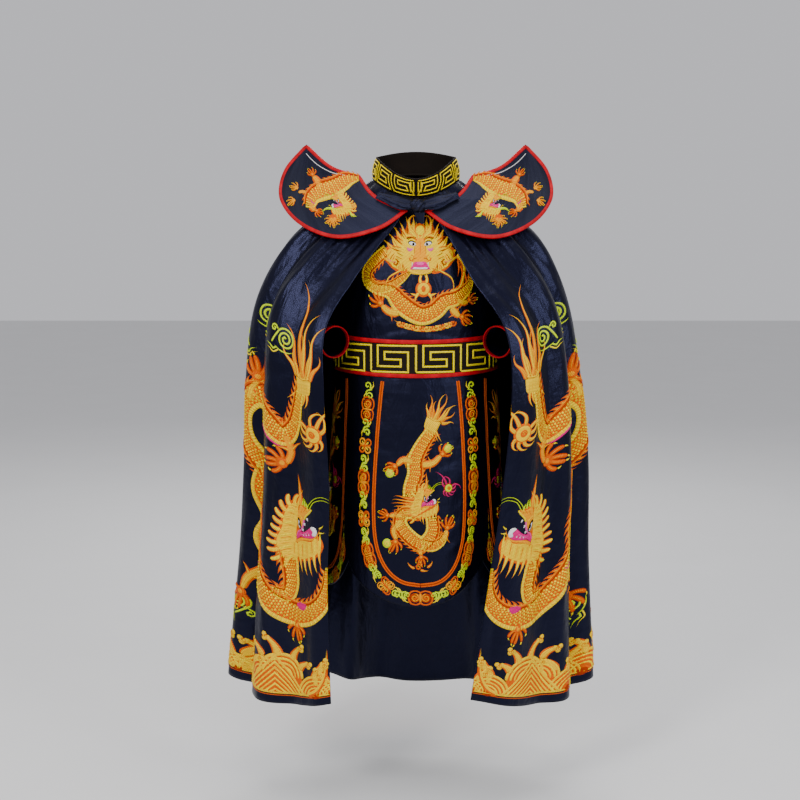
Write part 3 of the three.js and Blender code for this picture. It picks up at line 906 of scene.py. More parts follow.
def ray(x: float, y: float, length: float, angle: float, bend: float = 0.0) -> list[tuple[float, float]]:
    """Points of a lock of thread from (x, y) at an angle in degrees, which turns by bend on its way.

    Args:
        x: Its root.
        y: Its root.
        length: How long it is.
        angle: Its direction, in degrees.
        bend: Its turn on the way, in degrees.

    Returns:
        The points, in order.
    """
    shares = (0, 0.3, 0.62, 0.85, 1)
    points = [(x, y)]
    for a, b in zip(shares, shares[1:]):
        (u, v), (c, s) = points[-1], aim(angle + bend * (a + b) / 2)
        points.append((u + length * (b - a) * c, v + length * (b - a) * s))
    return points


class Thread(Enum):
    """The threads' colours, linear."""

    YELLOW = (0.98, 0.6, 0.0)
    STRAW = (1.0, 0.75, 0.0)
    GOLD = (0.95, 0.36, 0.0)
    ORANGE = (0.76, 0.11, 0.0)
    EMBER = (0.4, 0.03, 0.0)
    ROSE = (0.72, 0.002, 0.2)
    BLUSH = (0.85, 0.11, 0.38)
    WHITE = (0.82, 0.8, 0.8)
    LIME = (0.62, 0.8, 0.0)
    INK = (0.003, 0.003, 0.005)


class Taper(Enum):
    """How a stroke's width runs along it."""

    EVEN = "even"
    LASH = "lash"
    LEAF = "leaf"

    def widths(self, share: Array) -> Array:
        """Shares of the full width along a stroke.

        Args:
            share: Shares of the way.

        Returns:
            The shares of the width.
        """
        if self is Taper.LASH:
            return 0.06 + 0.94 * (1 - share**1.6) ** 0.9
        if self is Taper.LEAF:
            return 0.08 + 0.92 * np.sin(np.pi * share) ** 0.75
        return np.ones_like(share)


YELLOW, STRAW, GOLD, ORANGE, EMBER, ROSE, BLUSH, WHITE, LIME, INK = Thread
EVEN, LASH, LEAF = Taper


class Unit(Enum):
    """Pieces of stitching that repeat along a line."""

    SCALES = "scales"
    BELLY = "belly"
    SPINE = "spine"
    COLLAR_KEY = "collar_key"
    BELT_KEY = "belt_key"
    SCROLL = "scroll"
    KNOT = "knot"
    MEDALLION = "medallion"
    WAVE = "wave"


@dataclass(frozen=True)
class Course:
    """A line that a unit repeats along.

    Attributes:
        unit: The unit.
        hand: -1 lays the unit mirrored, with its left side on the line's right.
        line: Points of the line.
        half: What the unit's sideways size is multiplied by at each point.
        spacing: From one unit to the next.
        grow: What the unit's size along the line is multiplied by.
    """

    unit: Unit
    hand: int
    line: Array
    half: Array
    spacing: float
    grow: float = 1.0


SUNK = -0.35
FACET = 8.0


class Stitchwork:
    """Embroidery laid out flat in a plan: domed strokes, filled shapes and courses of repeated units."""

    def __init__(self) -> None:
        """Starts with nothing stitched."""
        self.parts: list[tuple[Array, ...]] = []
        self.courses: list[Course] = []
        self.count = 0

    def keep(self, points: Array, shades: Array, grains: Array, quads: Array, tris: Array) -> None:
        """Adds a mesh of plan points whose third column is the lift."""
        faces = (quads.reshape(-1, 4) + self.count, tris.reshape(-1, 3) + self.count)
        self.parts.append((points, shades, grains, *faces))
        self.count += len(points)

    def stroke(
        self,
        points: Points,
        width: float | Sequence[float],
        thread: Thread,
        taper: Taper = EVEN,
        height: float = 1.3,
        sharp: bool = False,
        step: float = 6.0,
    ) -> None:
        """Stitches a domed line.

        Args:
            points: Points that the line goes through.
            width: Its width, or one for each point.
            thread: Its colour.
            taper: How the width runs out.
            height: How far it stands up.
            sharp: Keeps the corners.
            step: The most between two cross-sections.
        """
        line = trace(points, sharp)
        at = lengths_of(line)
        total = at[-1]
        cap = min(0.2 * float(np.max(width)), 0.2 * total)
        inside = at[1:-1] if sharp else np.zeros(0)
        samples = np.concatenate([np.linspace(0, total, max(4, math.ceil(total / step) + 1)), inside])
        samples = np.unique(np.concatenate([samples, [cap, total - cap]]).round(3))
        p = sample(line, at, samples)
        ways = normed(np.diff(p, axis=0))
        ahead, behind = np.vstack([ways, ways[-1:]]), np.vstack([ways[:1], ways])
        along = normed(ahead + behind)
        mitre = 1 / np.clip((along * ahead).sum(1), 0.64, 1)
        full = np.interp(samples, at, spread(width, len(line)))
        share = np.clip(samples / total, 0, 1)
        edge = np.minimum(samples, total - samples) if taper is not LASH else samples
        end = np.sqrt(1 - (1 - np.clip(edge / (0.5 * full + 1e-6), 0, 1)) ** 2)
        shape = taper.widths(share) * np.maximum(end, 0.12)
        half = 0.5 * full * shape * mitre
        across = np.stack([-along[:, 1], along[:, 0]], -1)
        count = 2 + math.ceil(float(half.max()) / FACET) if half.max() > FACET else 2
        cross = np.sin(np.linspace(-0.5, 0.5, 2 * count + 1) * np.pi)
        dome = 1 - np.abs(cross) ** 3.2
        flat = p[:, None] + across[:, None] * (cross[None, :, None] * half[:, None, None])
        high = height * np.minimum(1, shape * 1.4)
        lift = SUNK + (high[:, None] - SUNK) * dome[None]
        grain = np.stack([cross[None] * half[:, None], np.repeat(samples[:, None], len(cross), 1)], -1)
        rows, columns = lift.shape
        k = (np.arange(rows - 1)[:, None] * columns + np.arange(columns - 1)[None]).ravel()
        quads = np.stack([k + 1, k, k + columns, k + columns + 1], -1)
        flat3 = np.concatenate([flat, lift[..., None]], -1).reshape(-1, 3)
        shades = np.tile(np.array(thread.value), (len(flat3), 1))
        self.keep(flat3, shades, grain.reshape(-1, 2), quads, np.zeros(0, int))

    def patch(
        self, points: Points, thread: Thread, height: float = 1.5, sharp: bool = False, dome: float = 0.82
    ) -> None:
        """Fills a domed shape inside a closed outline.

        Args:
            points: The outline.
            thread: Its colour.
            height: How far it stands up.
            sharp: Keeps the corners.
            dome: Where the rounded edge ends, as a share of the way out.
        """
        p = np.asarray(points, float)
        line = np.vstack([p, p[:1]]) if sharp else trace(np.vstack([p[-1:], p, p[:2]]))[8:-8]
        at = lengths_of(line)
        samples = np.linspace(0, at[-1], max(8, int(at[-1] / 6)) + 1)
        if sharp:
            samples = np.unique(np.concatenate([at, samples if at[-1] > 60 else at]).round(3))
        p = sample(line, at, samples[:-1])
        turned = np.roll(p, -1, 0)
        if (p[:, 0] * turned[:, 1] - p[:, 1] * turned[:, 0]).sum() < 0:
            p = p[::-1]
        n, middle = len(p), p.mean(0)
        reach = float(np.linalg.norm(p - middle, axis=1).max())
        inner = np.linspace(dome, 0, max(2, math.ceil(reach / FACET)) + 1)[1:-1]
        rings = [(1.0, SUNK), (dome, 0.8 * height), *((share, height) for share in inner)]
        flat = [np.column_stack([middle + (p - middle) * s, np.full(n, lift)]) for s, lift in rings]
        flat3 = np.vstack([*flat, [[*middle, height * 1.03]]])
        i, j = np.arange(n), (np.arange(n) + 1) % n
        last = len(rings) - 1
        steps = n * np.arange(last)[:, None]
        quads = np.stack([i + steps, j + steps, j + steps + n, i + steps + n], -1).reshape(-1, 4)
        tris = np.stack([i + last * n, j + last * n, np.full(n, n + last * n)], -1)
        shades = np.tile(np.array(thread.value), (len(flat3), 1))
        self.keep(flat3, shades, flat3[:, :2].copy(), quads, tris)

    def bands(
        self, points: Points, taper: Taper, *rows: tuple[float | Sequence[float], Thread, float]
    ) -> None:
        """Stitches strokes over each other, where each row is a width, a thread and a height.

        Args:
            points: Its points, in order.
            taper: How the width runs out.
            rows: The strokes, lowest first.
        """
        for width, thread, height in rows:
            self.stroke(points, width, thread, taper, height)

    def disc(
        self, x: float, y: float, radius: float, thread: Thread, height: float = 1.6, squash: float = 1.0
    ) -> None:
        """Fills a domed disc.

        Args:
            x: Its middle.
            y: Its middle.
            radius: Its radius.
            thread: Its colour.
            height: How far it stands up.
            squash: Its height over its width.
        """
        angles = np.linspace(0, 2 * np.pi, max(9, int(radius * 1.2)) + 1)[:-1]
        outline = np.stack([x + radius * np.cos(angles), y + radius * squash * np.sin(angles)], -1)
        self.patch(outline, thread, height, sharp=True)

    def course(
        self, unit: Unit, points: Points, spacing: float, half: float = 1.0, hand: int = 1, grow: float = 1.0
    ) -> None:
        """Lays a repeated unit along a smooth line.

        Args:
            unit: What is repeated.
            points: The line.
            spacing: Between two of them.
            half: What its sideways size is multiplied by.
            hand: 1, or -1 for the mirrored one.
            grow: What its size along the line is multiplied by.
        """
        line = trace(points)
        self.courses.append(Course(unit, hand, line, np.full(len(line), half), spacing, grow))

    def add(
        self, other: "Stitchwork", x: float = 0, y: float = 0, turn: float = 0, grow: float = 1,
        flip: bool = False
    ) -> None:
        """Copies other stitching in, flipped left to right, enlarged, turned by degrees and moved.

        Args:
            other: What is copied.
            x: Where its origin goes.
            y: Where its origin goes.
            turn: How far it is turned, in degrees.
            grow: How much larger it is made.
            flip: Turns left into right first.
        """
        c, s = (grow * value for value in aim(turn))
        rows = np.array([[c, s], [-s, c]])
        if flip:
            rows[0] *= -1
        order = -1 if flip else 1
        for points, shades, grains, *faces in other.parts:
            moved = np.column_stack([points[:, :2] @ rows + (x, y), points[:, 2]])
            turned = [mesh[:, ::order] + self.count for mesh in faces]
            self.parts.append((moved, shades, grains * grow, *turned))
        self.count += other.count
        for row in other.courses:
            line = row.line @ rows + (x, y)
            sizes = (row.half * grow, row.spacing * grow, row.grow * grow)
            self.courses.append(Course(row.unit, order * row.hand, line, *sizes))

    def arrays(self) -> tuple[Array, ...]:
        """The stitching as points, shades, grains, quads and triangles."""
        return tuple(np.concatenate(tables) for tables in zip(*self.parts))


def cloud() -> Stitchwork:
    """A rolled cloud about 60 across, drawn in bright bands.

    Returns:
        The stitching.
    """
    work = Stitchwork()
    roll = [(x * 0.92, y * 1.06) for x, y in curl(6, 0, 25, 3, 160, -2.35)]
    work.stroke([(-30, -14), (-24, -3), *roll], 4.6, LIME, height=1.5)
    work.stroke([(-22, -20), (-6, -29), (10, -31), (24, -27)], 3.6, LIME, LEAF)
    work.stroke([(-12, 20), *curl(-24, 20, 9, 2, 0, 1.3)], 4.0, LIME)
    work.stroke([(-16, -22), (-26, -28), (-36, -20), (-52, -18)], (4, 5, 4, 2), LIME, LASH)
    work.stroke([(-12, -28), (-26, -36), (-36, -29), (-50, -27)], (4, 4, 3, 2), STRAW, LASH)
    return work


TONGUES = (
    (118, 92, 104, 56), (72, 66, 64, 150), (24, 72, 44, -130), (162, 70, 150, -140), (206, 40, 206, 150),
    (240, 42, 240, 150), (274, 42, 274, 150), (308, 42, 308, 150), (344, 46, 350, 150),
)


def pearl(disc: Thread = YELLOW, flame: Thread = YELLOW, shade: Thread = ORANGE) -> Stitchwork:
    """A round pearl of radius 24 among curling flames.

    Args:
        disc: The pearl's colour.
        flame: The flames' colour.
        shade: Their edges' colour.

    Returns:
        The stitching.
    """
    work = Stitchwork()
    for place, length, angle, bend in TONGUES:
        c, s = aim(place)
        path = ray(19 * c, 19 * s, length, angle, bend)
        work.bands(path, LASH, ((13, 12, 10, 7, 4), shade, 1.3), ((10, 9, 7, 5, 2), flame, 1.9))
        work.stroke(path[:3], 1.8, shade, LASH, 2.4)
    work.disc(0, 0, 25, shade, 1.9)
    work.disc(0, 0, 22, disc, 2.5)
    work.disc(1, 0, 11, ORANGE, 3.1)
    work.stroke(curl(1, 0, 6, 1, 0, 1.3), 2.4, disc, height=3.7)
    return work


def claw(thread: Thread = ORANGE) -> Stitchwork:
    """A plump five-toed claw about 60 across, spread towards +x from a wrist at the origin.

    Args:
        thread: Its colour.

    Returns:
        The stitching.
    """
    work = Stitchwork()
    for angle, length, bend in ((96, 32, -80), (44, 38, -44), (6, 40, -26), (-30, 38, 30), (-76, 32, 76)):
        c, s = aim(angle)
        toe = ray(9 + 7 * c, 7 * s, length, angle, bend)
        work.bands(toe, EVEN, ((13, 12, 12, 11, 8), EMBER, 1.6), ((11, 10, 10, 9, 6), thread, 2.2))
        work.stroke(toe[:4], 2.6, GOLD, LEAF, 2.9)
        (a, b), (x, y) = toe[-2:]
        way = math.degrees(math.atan2(y - b, x - a))
        work.stroke(ray(x, y, 10, way, bend), (5, 4, 2), STRAW, LASH, 2.6)
    work.disc(10, 0, 13, thread, 2.6)
    work.disc(9, 0, 7, GOLD, 3.2)
    return work


def limb(
    work: Stitchwork, points: Points, width: float, turn: float, grow: float = 1.0, thread: Thread = YELLOW
) -> None:
    """Stitches a leg along points, with its elbow flames and a claw turned by degrees at its end.

    Args:
        work: What it is stitched in.
        points: Its middle line.
        width: Its width.
        turn: The claw's direction, in degrees.
        grow: How much larger it is made.
        thread: Its colour.
    """
    line = [tuple(p) for p in points]
    sizes = [width * (1.25 - 0.5 * k / (len(line) - 1)) for k in range(len(line))]
    (x, y), (u, v) = line[-2], line[0]
    away = math.degrees(math.atan2(v - y, u - x))
    for bend, length in ((46, 40), (0, 46), (-46, 38)):
        for share, wide, tip, shade, height in ((1, (11, 8), 3, ORANGE, 1.5), (0.9, (5, 4), 2, YELLOW, 2.0)):
            flame = ray(x, y, length * share * grow, away + bend * 0.9, bend)
            work.stroke(flame, (*(w * grow for w in wide), tip), shade, LASH, height)
    work.bands(line, EVEN, ([s + 5 for s in sizes], ORANGE, 1.3), (sizes, thread, 2.2))
    middle = trace(line)
    for share in (-0.3, 0.0, 0.3):
        edge = beside(middle, spread([share * s for s in sizes], len(middle)))
        work.stroke(edge[::4], 1.8, GOLD, height=2.9)
    work.add(claw(), *line[-1], turn=turn, grow=grow)


def body(
    work: Stitchwork,
    points: Points,
    half: Sequence[float],
    belly: int,
    spacing: float = 13.0,
    spine: float = 17.0,
    spikes: float = 1.0,
) -> None:
    """Stitches a scaled body along points.

    Args:
        work: What it is stitched in.
        points: Its middle line.
        half: Half its width at each point.
        belly: 1 where the belly lies to the left of the line, -1 to the right.
        spacing: Between its double rows of scales.
        spine: Between its back's flames.
        spikes: What the flames' length is multiplied by.
    """
    line = trace(points)
    size = spread(half, len(line))
    back = beside(line, -belly * 1.04 * size)
    work.courses.append(Course(Unit.SPINE, -belly, back, np.full(len(line), spikes), spine, spikes))
    work.stroke(line[::2], [2.1 * h for h in size[::2]], ORANGE, height=1.0)
    under = beside(line, belly * 0.8 * size)
    work.stroke(under[::2], [0.42 * h for h in size[::2]], YELLOW, height=1.9)
    work.courses.append(Course(Unit.BELLY, belly, line, size, spacing * 0.7))
    work.courses.append(Course(Unit.SCALES, belly, line, size, spacing, spacing / 15))
    work.stroke(beside(line, -belly * 0.99 * size)[::2], [0.3 * h for h in size[::2]], ORANGE, height=2.3)
    work.stroke(beside(line, -belly * 0.82 * size)[::2], 2.6, EMBER, height=2.6)
    work.stroke(beside(line, -belly * 1.04 * size)[::2], 2.4, GOLD, height=2.9)


MANE = (
    (16, 62, 84, 80), (30, 56, 58, 70), (40, 40, 40, 64), (46, 22, 24, 60), (48, 4, 10, 54),
    (52, -14, 2, 50),
    (58, -32, -4, 46), (62, -50, -10, 44), (60, -68, -22, 40), (50, -84, -40, 36), (34, -94, -62, 34),
)
BEARD = (
    (10, -72, 34, -98), (-6, -74, 42, -94), (-22, -70, 50, -92), (-38, -64, 54, -92), (-54, -54, 54, -90),
    (-68, -40, 48, -86)
)
MASS = (
    (2, 60), (14, 72), (32, 64), (44, 44), (50, 20), (52, 0), (58, -20), (66, -42), (64, -66), (50, -90),
    (26, -100), (2, -92),
    (0, -60), (6, -30), (6, 0), (0, 30),
)
CHIN = (
    (10, -34), (-18, -24), (-46, -20), (-62, -6), (-74, -14), (-78, -34), (-66, -56), (-36, -74), (-4, -84),
    (12, -70)
)
FACE = (
    (4, 60), (-6, 68), (-18, 64), (-30, 63), (-42, 60), (-36, 50), (-24, 40), (-17, 24), (-12, 6), (-2, -6),
    (8, 0), (10, 30),
)
MOUTH = (
    (4, -4), (-10, -6), (-22, -2), (-34, 8), (-46, 17), (-56, 12), (-60, -2), (-50, -14), (-24, -20),
    (0, -22), (12, -34), (12, -18)
)


def edged(work: Stitchwork, points: Points, thread: Thread, height: float, rim: float = 3.5) -> None:
    """Fills a shape over a wider one in orange, which shows as its edge.

    Args:
        work: What it is stitched in.
        points: The outline.
        thread: Its colour.
        height: How far it stands up.
        rim: How far the edge shows.
    """
    p = np.asarray(points, float)
    away = p - p.mean(0)
    work.patch(p + rim * normed(away), ORANGE, height - 0.7)
    work.patch(p, thread, height)


def lined(
    work: Stitchwork, points: Points, widths: Sequence[float], thread: Thread, height: float,
    taper: Taper = LASH
) -> None:
    """Stitches a stroke over a wider one in orange, which shows as its edge.

    Args:
        work: What it is stitched in.
        points: Its middle line.
        widths: Its width at each point.
        thread: Its colour.
        height: How far it stands up.
        taper: How the width runs out.
    """
    work.stroke(points, [w + 3.5 for w in widths], ORANGE, taper, height - 0.7)
    work.stroke(points, widths, thread, taper, height)


def profile_head() -> Stitchwork:
    """A roaring head in profile that faces -x, about 80 from its chin to its cheek, with mane and beard.

    Returns:
        The stitching.
    """
    work = Stitchwork()
    for k, (x, y, angle, bend) in enumerate(MANE):
        c, s = aim(angle)
        path = [(x - 26 * c, y - 26 * s), *ray(x - 6 * c, y - 6 * s, 36, angle - 0.3 * bend, 1.2 * bend)]
        lined(work, path, (13, 13, 12, 11, 9, 6), (YELLOW, STRAW)[k % 2], 2.0, EVEN)
    for k, (x, y, length, angle) in enumerate(BEARD):
        lined(
            work, [(x, y + 26), *ray(x, y, length, angle, -24)], (14, 14, 12, 9, 6, 3),
            (STRAW, YELLOW)[k % 2], 2.1
        )
    edged(work, CHIN, YELLOW, 2.4)
    edged(work, MASS, YELLOW, 2.6)
    for k, (x, y, angle, bend) in enumerate(MANE):
        inner = (12 + 3 * (k % 2), 0.82 * y + 6)
        middle = ((x + inner[0]) / 2, (y + inner[1]) / 2 + 4)
        work.stroke([inner, middle, (x + 2, y - 3)], (4, 8, 7), (STRAW, YELLOW)[k % 2], LEAF, 3.5)
        work.stroke(
            [(a, b - 8) for a, b in (inner, middle, (x, y))], (3, 4, 4), (ORANGE, GOLD)[k % 2], LEAF, 3.3
        )
    for k, (x, y, length, angle) in enumerate(BEARD):
        work.stroke(
            [(x + 6, y + 42), (x + 5, y + 20), (x + 3, y - 8)], (3, 4, 3), (ORANGE, GOLD)[k % 2], LEAF, 3.2
        )
        work.stroke([(x - 1, y + 44), (x - 2, y + 20), (x - 4, y - 8)], (4, 7, 4), STRAW, LEAF, 3.2)
    for shift, thread, height in ((0, LIME, 1.9), (4, INK, 1.6), (8, LIME, 1.9)):
        line = [
            (-26 - shift, 58), (-36 - shift, 76), (-54, 94 - shift), (-76, 100 - shift), (-98, 92 - shift)
        ]
        work.stroke(line, 2.4, thread, LASH, height=height)
    lined(work, ray(7, 56, 52, 98, 22), (13, 11, 8, 6, 3), YELLOW, 2.8)
    lined(work, ray(-3, 58, 84, 88, -12), (17, 14, 11, 7, 3), GOLD, 3.0)
    work.patch(MOUTH, ROSE, 2.6)
    work.stroke([(4, -12), (-14, -12), (-30, -4), (-42, 6)], (5, 6, 6, 3), BLUSH, LEAF, 3.3)
    edged(work, FACE, GOLD, 3.1, 2.5)
    for x, y, length, angle in (
        (4, 44, 22, 100), (-6, 40, 22, 112), (-14, 46, 20, 130), (-2, 26, 18, 108), (-24, 52, 16, 150)
    ):
        work.stroke(ray(x, y, length, angle), (5, 5, 2), ORANGE, LEAF, 3.7)
    work.stroke([(-43, 62), (-34, 50), (-24, 40), (-18, 28)], (5, 5, 5, 3), STRAW, height=3.9)
    work.stroke([(-18, 30), (-15, 14), (-9, 0), (2, -8), (8, -22)], (4, 5, 5, 4, 3), BLUSH, height=3.9)
    work.stroke(curl(-31, 57, 5.5, 1.5, -60, 1.2), 2.6, YELLOW, height=4.1)
    for x, y, length, angle in ((-10, 64, 22, 106), (-20, 62, 22, 92), (-30, 61, 16, 76)):
        work.stroke(ray(x, y, length, angle, -20), (8, 6, 4, 3, 2), LIME, LASH, 3.4)
    work.patch([(6, 32), (-2, 30), (-9, 16), (-11, 2), (-5, -4), (3, 8)], INK, 4.2)
    work.patch([(3, 29), (-3, 25), (-8, 13), (-9, 3), (-5, -1), (1, 10)], WHITE, 4.7)
    work.disc(-4.5, 14, 3.8, INK, 5.2, 2.0)
    work.stroke([(-14, 22), (-8, 34), (6, 40)], (5, 7, 4), YELLOW, LEAF, 4.4)
    work.patch(
        [(-40, 14), (-48, 18), (-57, 14), (-61, 2), (-56, -8), (-46, -8), (-50, 0), (-48, 8)], WHITE, 3.5
    )
    for x, y, length, angle in (
        (-14, 4, 8, -104), (-19, 20, 8, -112), (-28, 36, 9, -118), (-20, -14, 7, 86), (-30, -12, 8, 80),
        (-39, -9, 8, 76)
    ):
        work.stroke(ray(x, y, length, angle), (5, 4, 2), WHITE, LASH, 3.9)
    rim = [(12, -40), (-6, -27), (-28, -21), (-48, -17), (-61, -4), (-68, 14)]
    lined(work, rim, (9, 10, 10, 9, 8, 5), GOLD, 3.6)
    for angle in (160, 196):
        work.stroke(ray(-66, 10 + 0.3 * (178 - angle), 16, angle, -50), (6, 5, 4, 3, 2), STRAW, LASH, 3.3)
    return work


def tail_tuft(lengths: Sequence[tuple[float, float, float, float]]) -> Stitchwork:
    """A tail's flame-like tuft that rises from the origin. Each row is x, length, angle and bend.

    Args:
        lengths: The rows, one for each lock.

    Returns:
        The stitching.
    """
    work = Stitchwork()
    for k in range(6):
        lock = ray(-14 + 6.4 * k, -34, 44, -110 + 13 * k, 70 - 12 * k)
        work.bands(lock, LASH, ((11, 10, 8, 6, 3), ORANGE, 1.4), ((7, 7, 5, 4, 2), YELLOW, 2.0))
    for k, (x, length, angle, bend) in enumerate(lengths):
        shade = (YELLOW, GOLD)[k % 2]
        first = ray(x, -4, length * 0.55, angle - bend / 2, bend)
        rest = ray(*first[-1], length * 0.45, angle + bend / 2, -1.9 * bend)
        wide = 8 + length / 34
        path = [*first[:-1], *rest]
        sizes = [wide * s for s in (1.1, 1.1, 1, 0.85, 0.7, 0.62, 0.5, 0.3)]
        work.bands(
            path, LASH, ([s + 3.5 for s in sizes], ORANGE, 1.3 + 0.1 * (k % 3)),
            (sizes, shade, 2.0 + 0.2 * (k % 3))
        )
        work.stroke(path[:6], 2.0, ORANGE, LASH, 2.9)
    work.patch([(-25, 6), (-27, -18), (-20, -40), (18, -42), (24, -20), (23, 6), (0, 2)], YELLOW, 2.6)
    work.stroke([(-25, -1), (0, -6), (24, 0)], 3.4, EMBER, height=3.2)
    for k in range(5):
        work.stroke(ray(-18 + 9 * k, -38, 26, 92 - 2 * k), 1.8, GOLD, LEAF, 3.2)
    return work


KEY = (
    (-53.2, -32), (35, -32), (35, 16.5), (-19.8, 16.5), (-19.8, -1.5), (18.2, -1.5), (18.2, -18.5),
    (-36.5, -18.5), (-36.5, 32), (53.2, 32), (53.2, -32),
)
KEY_LONG = 106.4
COLLAR_KEY_LONG, COLLAR_KEY_HIGH = 0.575, 0.63


def unit_stitching(unit: Unit) -> Stitchwork:
    """One piece of a repeated course, with x along its line and y to the line's left.

    Args:
        unit: Which one.

    Returns:
        The stitching.
    """
    work = Stitchwork()
    if unit is Unit.SCALES:
        scale = ((-3.6, 0.11), (0.8, 0.115), (4.0, 0), (0.8, -0.115), (-3.6, -0.11))
        for x, ys, thread in (
            (0.0, (-0.66, -0.38, -0.1, 0.18, 0.46), YELLOW), (7.5, (-0.52, -0.24, 0.04, 0.32), STRAW)
        ):
            for y in ys:
                work.patch([(x + a, y + b) for a, b in scale], thread, 2.3, sharp=True, dome=0.7)
    elif unit is Unit.BELLY:
        work.patch(
            [(-2.4, 0.62), (1.6, 0.58), (3.0, 0.78), (1.6, 0.98), (-2.4, 1.0)], STRAW, 2.4, sharp=True
        )
    elif unit is Unit.SPINE:
        work.stroke([(-8, -3), (-2, 4), (4, 9), (13, 13)], (12, 11, 7, 2), ORANGE, LASH, 1.8)
        work.stroke([(-5, 0), (0, 5), (5, 9)], (4, 4, 1), YELLOW, LASH, 2.4)
    elif unit is Unit.COLLAR_KEY:
        small = [(x * COLLAR_KEY_LONG, y * COLLAR_KEY_HIGH) for x, y in KEY]
        work.stroke(small, 3.2, STRAW, height=1.5, sharp=True, step=9)
    elif unit is Unit.BELT_KEY:
        work.stroke(KEY, 5.0, STRAW, height=1.7, sharp=True, step=9)
        work.stroke(KEY, 1.4, LIME, height=2.1, sharp=True, step=9)
    elif unit is Unit.SCROLL:
        line = [
            *curl(-12, 4, 2.5, 9.5, -60, -1.1), (-2, -7), (2, 0), (4, 7), *curl(13, -4, 9.5, 2.5, 130, -1.1)
        ]
        work.stroke(line, 3.8, LIME, height=1.7)
        work.stroke([(-5, -5), (-13, -12), (-25, -11)], (4, 4, 2), STRAW, LASH)
        work.stroke([(6, 5), (13, 12), (25, 10)], (4, 4, 2), STRAW, LASH)
    elif unit is Unit.KNOT:
        for k in range(4):
            c, s = aim(45 + 90 * k)
            work.stroke(
                curl(12.5 * c, 12.5 * s, 8.5, 7.5, 225 + 90 * k, 1.0), 3.0, (GOLD, ORANGE)[k % 2], height=1.7
            )
            work.stroke(ray(0, 0, 15, 45 + 90 * k), (3, 4, 4, 2), YELLOW, LEAF, 1.6)
        work.disc(0, 0, 4.0, ORANGE, 2.4)
    elif unit is Unit.MEDALLION:
        work.stroke(
            [
                (-30, 0), (-24, 14), (-8, 17), (0, 12), (8, 17), (24, 14), (30, 0), (24, -14), (8, -17),
                (0, -12), (-8, -17), (-24, -14), (-30, 0)
            ],
            3.4, ORANGE, height=1.7
        )
        for x in (-13.5, 13.5):
            work.disc(x, 0, 12.5, EMBER, 0.9)
            work.stroke(curl(x, 0, 10.5, 2, 90, 1.8 if x > 0 else -1.8), 3.6, ORANGE, height=1.8)
            work.stroke(curl(x, 0, 10.5, 4, 90, 1.2 if x > 0 else -1.2), 1.2, YELLOW, height=2.3)
        work.stroke([(0, -11), (0, 11)], 4.0, GOLD, height=1.8)
    elif unit is Unit.WAVE:
        wave_group(work)
    return work


def wave_crest(work: Stitchwork, x: float, y: float, length: float, angle: float, bend: float) -> None:
    """Stitches a wave's crest: a thick stalk with a rolled knob.

    Args:
        work: What it is stitched in.
        x: Its root.
        y: Its root.
        length: How long it is.
        angle: Its direction, in degrees.
        bend: Its turn on the way, in degrees.
    """
    path = ray(x, y, length, angle, bend)
    work.bands(path, EVEN, ((34, 25, 18, 14, 12), ORANGE, 1.5), ((29, 20, 13, 10, 8), YELLOW, 2.2))
    for share in (-0.22, 0.22):
        work.stroke(
            [(a + share * (30 - 6 * k), b) for k, (a, b) in enumerate(path[:4])], 1.8, GOLD, LASH, 2.8
        )
    a, b = path[-1]
    way = 1 if bend > 0 else -1
    for k in range(3):
        c, s = aim(angle + bend + 100 * way * k - 20 * way)
        work.disc(a + 6 * c, b + 6 * s, 6.6, YELLOW, 2.4 + 0.1 * k)
    work.stroke(curl(a, b, 7, 2, angle + bend, 1.3 * way), 1.8, ORANGE, height=3.3)


CRESTS = (
    (-138, 30, 44, 96, -70), (-112, 40, 52, 82, 80), (-62, 62, 40, 108, 80), (-42, 84, 48, 96, 60),
    (-8, 92, 56, 88, -60), (30, 84, 46, 70, -70), (66, 50, 44, 96, 80), (100, 40, 54, 84, -76),
    (134, 34, 46, 98, 70),
)


def wave_group(work: Stitchwork) -> None:
    """Stitches one mountain between rolling waves, 300 long, on a base line at y = 0.

    Args:
        work: What it is stitched in.
    """
    for row in CRESTS:
        wave_crest(work, *row)
    for x, base, radius in (
        (-16, 42, 60), (30, 36, 50), (-112, 0, 54), (-152, 0, 38), (106, 0, 52), (150, 0, 36)
    ):
        half = [(math.cos(a), math.sin(a)) for a in np.linspace(0, math.pi, 13)]
        outline = [(x + radius * c, base + radius * s) for c, s in half]
        work.patch([*outline, (x - radius, 0), (x + radius, 0)], ORANGE, 1.7, sharp=True)
        for k, share in enumerate((0.94, 0.76, 0.58, 0.42)):
            r = radius * share
            arc = [(x + r * c, max(1.0, base + r * s)) for c, s in half]
            work.stroke(arc, radius * 0.15, (YELLOW, STRAW)[k % 2], height=2.6 - 0.1 * k, step=9)
        work.disc(x, base + 2, radius * 0.24, EMBER, 2.3, 0.8)
    work.patch([(-84, 0), (-4, 96), (4, 96), (88, 0)], ORANGE, 2.4, sharp=True)
    for k in range(7):
        rise = 92 - 13.5 * k
        ridge = [(-80 + 11 * k, 0), (k * 0.4, rise), (84 - 11 * k, 0)]
        work.stroke(ridge, 8.2, (YELLOW, STRAW)[k % 2], height=3.2, sharp=True, step=12)
    work.stroke([(-150, 1), (150, 1)], 5.0, YELLOW, height=2.6, step=14)
    work.stroke([(-150, -5), (150, -5)], 2.2, ORANGE, height=1.6, step=14)


def along_from(line: Array, start: float) -> Array:
    """What is left of a line after its first start millimetres."""
    at = lengths_of(line)
    return sample(line, at, np.linspace(start, at[-1], 90))


